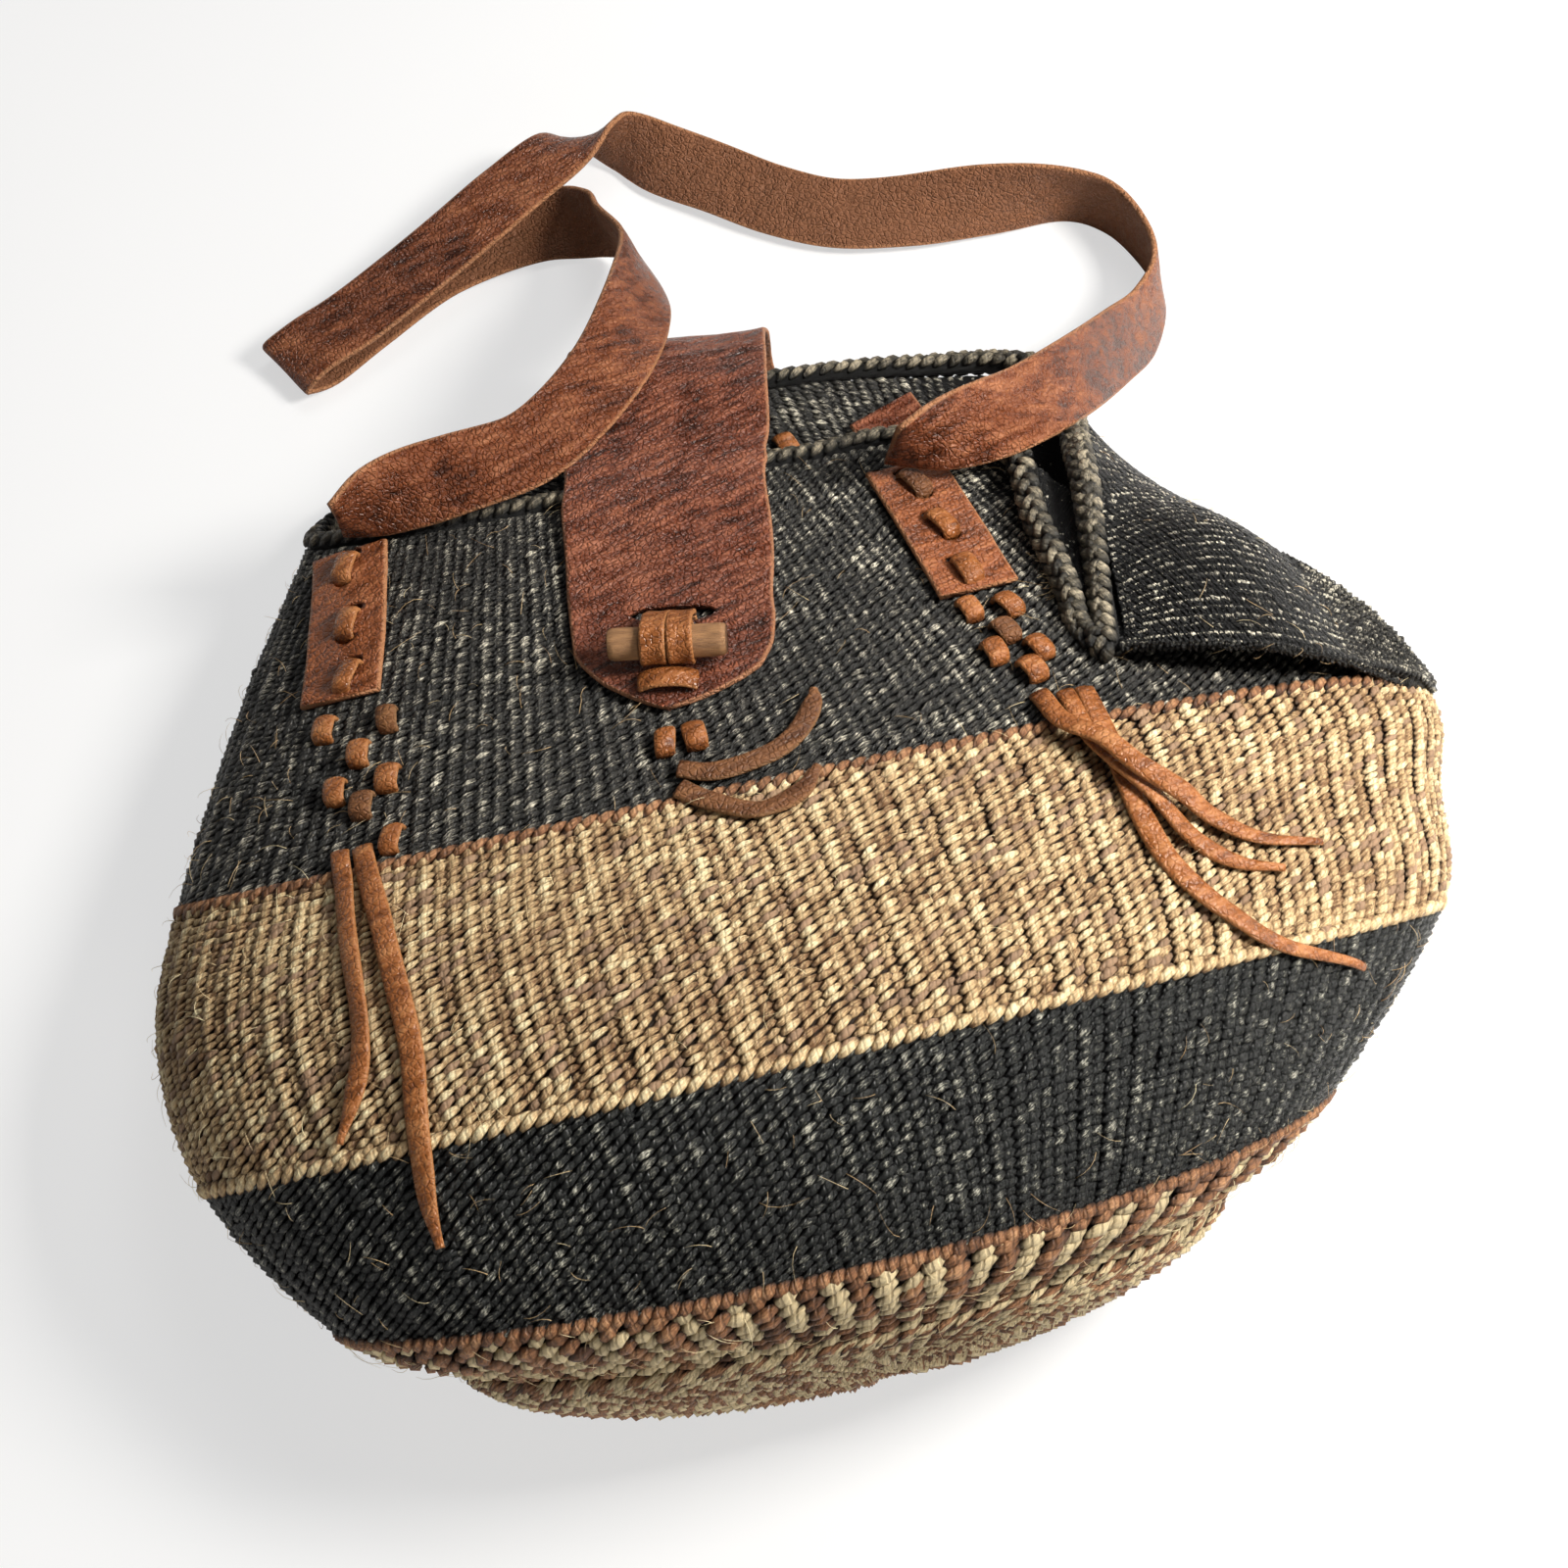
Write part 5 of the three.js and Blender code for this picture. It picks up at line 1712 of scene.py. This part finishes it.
@dataclass
class StrapTabs:
    """Leather tabs laced to the front wall, with punched holes."""

    steps: int = 44
    cols: int = 15
    wave: float = 0.45
    wave_least: float = -0.3
    wave_spots: tuple[float, float] = (9.0, 5.0)
    curl: float = 0.4
    hole_half: tuple[float, float] = (LACE_WIDE / 2 + 0.6, 2.5)
    hole_deep: float = 5.0
    hole_low: float = 0.4
    hole_high: float = 1.5
    last_row: float = 5.2
    seed: int = 61

    def holes(self, side: str) -> list[tuple[Array, Array]]:
        """Frames of a tab's holes, above and below each stitch; the lowest stitch goes over the tab's end.

        Args:
            side: Which tab.

        Returns:
            Origin and axes of each hole.
        """
        half = (TAB_STITCH - LACE_THICK) / 2
        made = []
        for angle, row in TAB_STITCHES[side]:
            origin, axes = BAG.standing(angle, row, SEAT + LEATHER)
            ends = (-half - self.hole_low, half + self.hole_high)
            ends = ends if row > self.last_row else ends[1:]
            made += [(origin + np.array([0, end, 0.0]) @ axes, axes) for end in ends]
        return made

    def build(self) -> None:
        """Lays each tab on the wall, waves it by smooth noise with its edges up, and punches the holes."""
        for k, (side, route) in enumerate(TAB_ROUTES.items()):
            grid = wall_sheet(route, self.steps, self.cols, STRAP_WIDE, SEAT + LEATHER / 2)
            i, j = np.meshgrid(np.arange(self.steps + 1), np.arange(self.cols), indexing="ij")
            edge = np.abs(j / (self.cols // 2) - 1) ** 5
            wave = np.maximum(spotted(i, j, self.wave_spots, self.seed + k), self.wave_least)
            bump = (self.wave * wave + self.curl * edge)[..., None]
            piece = band_object(f"strap_tab_{side}_leather", grid + sheet_normal(grid) * bump, LEATHER)
            piece = cut(piece, oval_cutter(self.holes(side), self.hole_half, self.hole_deep))
            settle(piece, "bag", "leather", Finish.TAB, "strap_tab_" + side)


@dataclass
class InnerPatch:
    """Round-ended leather patch on the inner face of the back wall."""

    steps: int = 24
    cols: int = 11
    round_share: float = 0.4
    round_depth: float = 0.9

    def build(self) -> None:
        """Lays the patch inside, facing the mouth; its end narrows as the root of one minus a square."""
        u = np.linspace(0, 1, self.steps + 1)
        end = np.sqrt(1 - self.round_depth * (1 - np.minimum(u / self.round_share, 1)) ** 2)
        grid = wall_sheet(PATCH_ROUTE, self.steps, self.cols, STRAP_WIDE * end, -(WALL + SEAT) - LEATHER / 2)
        piece = band_object("inner_patch", grid[:, ::-1], LEATHER)
        settle(piece, "bag", "leather", Finish.LEATHER, "back_patch")


@dataclass
class ShoulderStrap:
    """Long flat strap from tab to tab, twisted and folded where it lies."""

    steps: int = 300
    cols: int = 9
    wave: float = 0.5
    wave_spots: tuple[float, float] = (13.0, 4.0)
    ripple: float = 0.35
    ripple_spots: tuple[float, float] = (4.0, 3.0)
    ripple_least: float = -0.4
    end_share: float = 0.4
    seed: int = 17

    def build(self) -> None:
        """Carries a flat section along the route; its face ripples by smooth noise, less at the ends."""
        at = spline(STRAP_ROUTE, np.linspace(0, len(STRAP_ROUTE) - 1, self.steps))
        line, face = at[:, :3], at[:, 3:]
        step = unit(np.gradient(line, axis=0))
        across = unit(np.cross(face, step))
        share = np.linspace(-1, 1, self.cols)
        grid = line[:, None] + across[:, None] * share[None, :, None] * STRAP_WIDE / 2
        k = np.arange(self.steps)
        i, j = np.meshgrid(k, np.arange(self.cols), indexing="ij")
        wave = self.wave * spotted(i, j, self.wave_spots, self.seed)
        ripple = wave + self.ripple * spotted(i, j, self.ripple_spots, self.seed + 1)
        hold = (ease(k, 2, 16) * ease(-k, 3 - self.steps, -14))[:, None]
        high = np.maximum(ripple, self.ripple_least) * (self.end_share + (1 - self.end_share) * hold)
        grid = grid + np.cross(step, across)[:, None] * high[..., None]
        piece = band_object("shoulder_strap_leather", grid, LEATHER)
        settle(piece, "strap", "leather", Finish.STRAP, "shoulder_strap")


@dataclass
class Tails:
    """Loose lace ends, each a free flat cord that lies on the wall."""

    steps: int = 70
    hover: float = 0.35
    hover_waves: float = 5.0
    roll: float = 14.0
    roll_waves: float = 4.0
    roll_apart: float = 3.5
    wide: float = 0.95
    slim: float = 0.8
    taper: float = 0.65
    taper_from: float = 0.72
    thin: float = 0.4
    thin_from: float = 0.7
    crown: float = 0.4
    stray: float = 0.06
    stray_waves: float = 9.0
    seed: int = 23

    def build(self) -> None:
        """Lays each tail along its route; it tapers to its end and rolls a little about its own line."""
        u = np.linspace(0, 1, self.steps + 1)
        for i, (name, keys) in enumerate(TAILS.items()):
            angle, row, lift, _, normal, across = BAG.route(keys, self.steps)
            hover = self.hover * np.abs(soft_noise(u * self.hover_waves, 0 * u + i, self.seed))
            line = BAG.off(angle, row, lift + TAIL_THICK / 2 + hover)
            rolled = soft_noise(u * self.roll_waves, 0 * u + self.roll_apart * i, self.seed + 1)
            roll = np.radians(self.roll * rolled)[:, None]
            wide = TAIL_WIDE * (self.slim if name.endswith(("thin", "inner")) else self.wide)
            uneven = 1 + self.stray * soft_noise(u * self.stray_waves, 0 * u + i, self.seed + 2)
            width = wide * (1 - self.taper * ease(u, self.taper_from, 1.0)) * uneven
            grid = lace_band(line, turned(across, normal, roll), width, self.crown)
            thick = TAIL_THICK * (1 - self.thin * ease(u, self.thin_from, 1.0))
            piece = band_object("loose_" + name, grid, thick)
            finish = Finish.DARK_LACE if name.startswith("toggle") else Finish.LACE
            settle(piece, "bag", "lace", finish, name)
            centres = line * MM


@dataclass
class Toggle:
    """Wooden dowel held over the flap's slit by two loops of lace, with a collar below it."""

    high: float = SEAT + DOWEL_WIDE / 2 + SEAT + LACE_THICK
    sides: int = 36
    rings: int = 26
    round_end: float = 0.7
    round_long: float = 1.4
    cut_long: float = 0.2
    uneven: float = 0.022
    uneven_rings: float = 6.0
    facets: float = 0.012
    leg: tuple[tuple[float, float], ...] = (
        (SLIT_FROM_DOWEL, 0.8), (SLIT_FROM_DOWEL - 0.4, 2.4), (14.0, 6.0), (9.0, 10.6))
    loop_turns: tuple[float, float] = (52.0, 400.0)
    loop_steps: int = 46
    loop_hollow: float = 0.35
    loop_wide: float = LACE_WIDE + 0.6
    loop_close: float = 0.15
    loop_bow: float = 0.5
    loop_thin: float = 0.85
    thin: float = 0.9
    stem_crown: float = 0.2
    collar_half: float = 9.0
    collar_rise: float = 2.2
    collar_power: float = 2.4
    collar_crown: float = 0.5
    seed: int = 41

    @staticmethod
    def axes() -> tuple[Array, Array]:
        """Origin and axes of the toggle's own frame: x along the dowel, y to the slit, z off the flap.

        Returns:
            Origin and axes.
        """
        origin, plain = BAG.standing(*TOGGLE_PLACE, SEAT + LEATHER)
        c, s = math.cos(math.radians(TOGGLE_TURN)), math.sin(math.radians(TOGGLE_TURN))
        return origin, np.array([[c, s, 0.0], [-s, c, 0.0], [0.0, 0.0, 1.0]]) @ plain

    def frame(self, local: Array) -> Array:
        """Points of the toggle's own frame in the bag's frame."""
        origin, axes = self.axes()
        return origin + local @ axes

    def dowel(self) -> bpy.types.Object:
        """Whittled dowel: a radius that dips at both ends and varies a little round and along it.

        Returns:
            The dowel.
        """
        tip = np.array([0, 0.25, 0.9])
        x = np.concatenate([tip, np.linspace(2, DOWEL_LONG - 2, self.rings), DOWEL_LONG - tip[::-1]])
        end = np.minimum(x, DOWEL_LONG - x)
        r = DOWEL_WIDE / 2 - self.round_end * (1 - ease(end, 0, self.round_long))
        t = np.arange(self.sides) * 2 * np.pi / self.sides
        i = np.arange(len(x))[:, None] + 0 * t[None]
        across = 4 + 2.5 * np.cos(t)[None] + 0 * i
        whittled = self.uneven * soft_noise(i / self.uneven_rings, across, self.seed)
        radius = r[:, None] * (1 + whittled + self.facets * np.cos(4 * t)[None])
        flat = 0 * radius
        local = [x[:, None] - DOWEL_LONG / 2 + flat, radius * np.sin(t), self.high + radius * np.cos(t)]
        middles = [[-DOWEL_LONG / 2, 0, self.high], [DOWEL_LONG / 2, 0, self.high]]
        verts = np.vstack([np.stack(local, -1).reshape(-1, 3), middles])
        quads, tris = capped(len(x), self.sides)
        uv = np.stack([x[:, None] / 10 + flat, np.sin(t / 2)[None] + flat], -1).reshape(-1, 2)
        uv = np.vstack([uv, [[0, 0], [DOWEL_LONG / 10, 0]]])
        ends = np.append(np.repeat((end < self.cut_long).astype(float), self.sides), [1, 1])
        return mesh_object("dowel", self.frame(verts), quads, tris, uv, {"cut": ends})

    def loop(self, sign: int) -> Array:
        """Middle surface of a loop: a leg up from the slit and a turn round the dowel, bowed out by a sine.

        Args:
            sign: -1 for the left loop, 1 for the right one.

        Returns:
            Points, along by across.
        """
        mid = DOWEL_WIDE / 2 + SEAT + LACE_THICK / 2
        turn = np.radians(np.linspace(*self.loop_turns, self.loop_steps))
        ring = np.stack([0 * turn, mid * np.cos(turn), self.high + mid * np.sin(turn)], -1)
        line = np.concatenate([[(0, y, z) for y, z in self.leg], ring])
        bow = self.loop_bow * np.sin(np.linspace(0, np.pi, len(line)))
        line[:, 0] = sign * (LOOP_APART / 2 - self.loop_close) + sign * bow
        return lace_band(line, (1.0, 0.0, 0.0), self.loop_wide, -self.loop_hollow, 9)

    def stem(self, sign: int) -> Array:
        """Middle surface of a loop's stem, straight down through the slit.

        Args:
            sign: -1 for the left stem, 1 for the right one.

        Returns:
            Points, along by across.
        """
        z = np.linspace(-LEATHER, 0, 6)
        line = np.stack([0 * z + sign * LOOP_APART / 2, 0 * z + SLIT_FROM_DOWEL, z], -1)
        return lace_band(line, (1.0, 0.0, 0.0), LACE_WIDE, self.stem_crown, 5)

    def collar(self) -> Array:
        """Middle surface of the collar below the dowel: an arch of one minus a power of the way out.

        Returns:
            Points, along by across.
        """
        x = np.linspace(-self.collar_half, self.collar_half, 25)
        y = -(DOWEL_WIDE / 2 + SEAT + LACE_THICK + SEAT + LACE_WIDE / 2)
        arch = 1 - np.abs(x / self.collar_half) ** self.collar_power
        z = 2 * SEAT + LACE_THICK / 2 + self.collar_rise * arch
        return lace_band(np.stack([x, 0 * x + y, z], -1), (0.0, 1.0, 0.0), LACE_WIDE, self.collar_crown)

    def lace(self, name: str, grid: Array, thick: float, body: str, node: str) -> None:
        """Makes a piece of lace from its middle surface in the toggle's frame."""
        settle(band_object(name, self.frame(grid), thick), body, "lace", Finish.LACE, node)

    def build(self) -> None:
        """Makes dowel, loops, stems and collar."""
        settle(self.dowel(), "toggle", "wood", Finish.WOOD, "toggle_dowel")
        loop_thick, thick = LACE_THICK * self.loop_thin, LACE_THICK * self.thin
        for side, sign in (("left", -1), ("right", 1)):
            self.lace("loop_" + side, self.loop(sign), loop_thick, "toggle", "toggle_loop_" + side)
            self.lace("stem_" + side, self.stem(sign), thick, "flap", "toggle_stem_" + side)
        self.lace("collar", self.collar(), thick, "toggle", "toggle_collar")


@dataclass(frozen=True)
class Lamp:
    """Soft square lamp: its azimuth, height and distance, its size, power and colour."""

    name: str
    azimuth: float
    height: float
    far: float
    size: float
    power: float
    colour: Colour


@dataclass
class Studio:
    """Floor, light and camera, in metres."""

    azimuth: float = -13.5
    height: float = 64.0
    far: float = 0.7
    target: Triple = (0.020, 0.012, 0.050)
    lens: float = 50.0
    sensor: float = 36.0
    near: float = 0.01
    sky: float = 0.13
    floor_half: float = 4.0
    floor_low: float = 0.0004
    floor_grey: float = 0.9
    floor_glow: float = 0.6
    lamps: tuple[Lamp, ...] = (
        Lamp("key", 86.0, 46.0, 0.85, 0.26, 12.0, (1.0, 0.97, 0.92)),
        Lamp("fill", 5.0, 20.0, 1.5, 0.5, 4.8, (1.0, 0.98, 0.95)),
        Lamp("top", 150.0, 55.0, 1.6, 0.6, 5.0, WHITE),
    )

    def aim(self, thing: bpy.types.Object, azimuth: float, height: float, far: float) -> None:
        """Places a lamp or camera so that it looks at the bag.

        Args:
            thing: Lamp or camera.
            azimuth: Angle round the bag in degrees, from the front.
            height: Angle above the floor in degrees.
            far: Distance from the target.
        """
        a, e = math.radians(azimuth), math.radians(height)
        back = np.array([math.sin(a) * math.cos(e), -math.cos(a) * math.cos(e), math.sin(e)])
        across = np.array([math.cos(a), math.sin(a), 0.0])
        matrix = np.eye(4)
        matrix[:3, :3] = np.stack([across, np.cross(back, across), back], -1)
        matrix[:3, 3] = np.array(self.target) + back * far
        thing.matrix_world = [list(line) for line in matrix.T]

    def hang(self, lamp: Lamp) -> None:
        """Adds a lamp.

        Args:
            lamp: The lamp.
        """
        data = bpy.data.lights.new(lamp.name, "AREA")
        data.size, data.energy, data.color = lamp.size, lamp.power, lamp.colour
        made = bpy.data.objects.new(lamp.name, data)
        bpy.context.scene.collection.objects.link(made)
        self.aim(made, lamp.azimuth, lamp.height, lamp.far)

    def floor(self) -> None:
        """Pale floor that shows white and keeps the shadow."""
        half, low = self.floor_half / MM, -self.floor_low / MM
        corners = np.array([[-half, -half, low], [half, -half, low], [half, half, low], [-half, half, low]])
        made = mesh_object("floor", corners, np.array([[0, 1, 2, 3]]), smooth=False)
        g = Graph(bpy.data.materials.new("pale_floor"))
        path = g.node("ShaderNodeLightPath", output="Is Camera Ray")
        matt = g.node("ShaderNodeBsdfDiffuse", {}, {"Color": (*[self.floor_grey] * 3, 1.0)})
        glow = g.node("ShaderNodeEmission", {}, {"Color": (*WHITE, 1.0), "Strength": 1.0})
        both = g.node("ShaderNodeMixShader", {}, {0: path * self.floor_glow, 1: matt, 2: glow})
        g.add("ShaderNodeOutputMaterial", inputs={"Surface": both})
        made.data.materials.append(g.owner)

    def world(self) -> bpy.types.World:
        """White world that lights the bag little and shows white to the camera.

        Returns:
            The world.
        """
        g = Graph(bpy.data.worlds.new("studio"))
        path = g.node("ShaderNodeLightPath", output="Is Camera Ray")
        strength = g.node("ShaderNodeMapRange", {}, {"Value": path, "To Min": self.sky})
        sky = g.node("ShaderNodeBackground", {}, {"Color": (*WHITE, 1.0), "Strength": strength})
        g.add("ShaderNodeOutputWorld", inputs={"Surface": sky})
        return g.owner

    def build(self) -> None:
        """Sets up the world, lamps, floor and camera."""
        scene = bpy.context.scene
        scene.view_settings.view_transform = "Standard"
        scene.world = self.world()
        for lamp in self.lamps:
            self.hang(lamp)
        self.floor()
        data = bpy.data.cameras.new("camera")
        data.lens, data.sensor_width, data.clip_start = self.lens, self.sensor, self.near
        camera = bpy.data.objects.new("camera", data)
        scene.collection.objects.link(camera)
        self.aim(camera, self.azimuth, self.height, self.far)
        scene.camera = camera


def bands() -> list[WovenBand]:
    """The woven bands from base to rim.

    Returns:
        The bands.
    """
    return [
        WovenBand("base_floor", -0.97, 0.0, 30, Finish.MARL, "sisal_marl", "", 0.5, 0.3, 100, columns=100,
                  even_row=0.5, checks=6, thick=3.2),
        WovenBand("base", 0.0, BASE_ROW, 8, Finish.MARL, "sisal_marl", "base_cup", 0.5, 0.3, 101, columns=100,
                  even_row=0.5, checks=5, thick=2.4),
        WovenBand("lower_band", BASE_ROW, PALE_ROW, 24, Finish.DEEP, "sisal_dark", "lower_dark_band", 0.42,
                  0.2, 102, rib_every=2.4),
        WovenBand("pale_band", PALE_ROW, DARK_ROW, 36, Finish.NATURAL, "sisal_natural", "natural_band", 0.5,
                  0.34, 103, second=0.12, rib_every=2.8, rib_high=0.8),
        WovenBand("upper_band", DARK_ROW, RIM_ROW, 60, Finish.CHARCOAL, "sisal_dark", "upper_dark_band", 0.48,
                  0.22, 104, columns=224, even_row=5.4, inner_from=DARK_ROW, rib_high=0.35),
    ]


def main() -> None:
    """Builds the pieces in order."""
    logging.basicConfig(level=logging.INFO)
    dividers = [
        DividerRow("row_over_base", BASE_ROW, 0.5),
        DividerRow("row_under_pale", PALE_ROW, 0.6, Finish.NATURAL, "sisal_natural", seed=32),
        DividerRow("row_over_pale", DARK_ROW, 0.5, seed=33),
    ]
    parts = [Studio(), Tails(), *bands(), *dividers, Rim(), Fuzz(), Flap(), StrapTabs(), InnerPatch(),
             ShoulderStrap(), Stitches(), Toggle()]
    for part in parts:
        part.build()


if __name__ == "__main__":
    main()
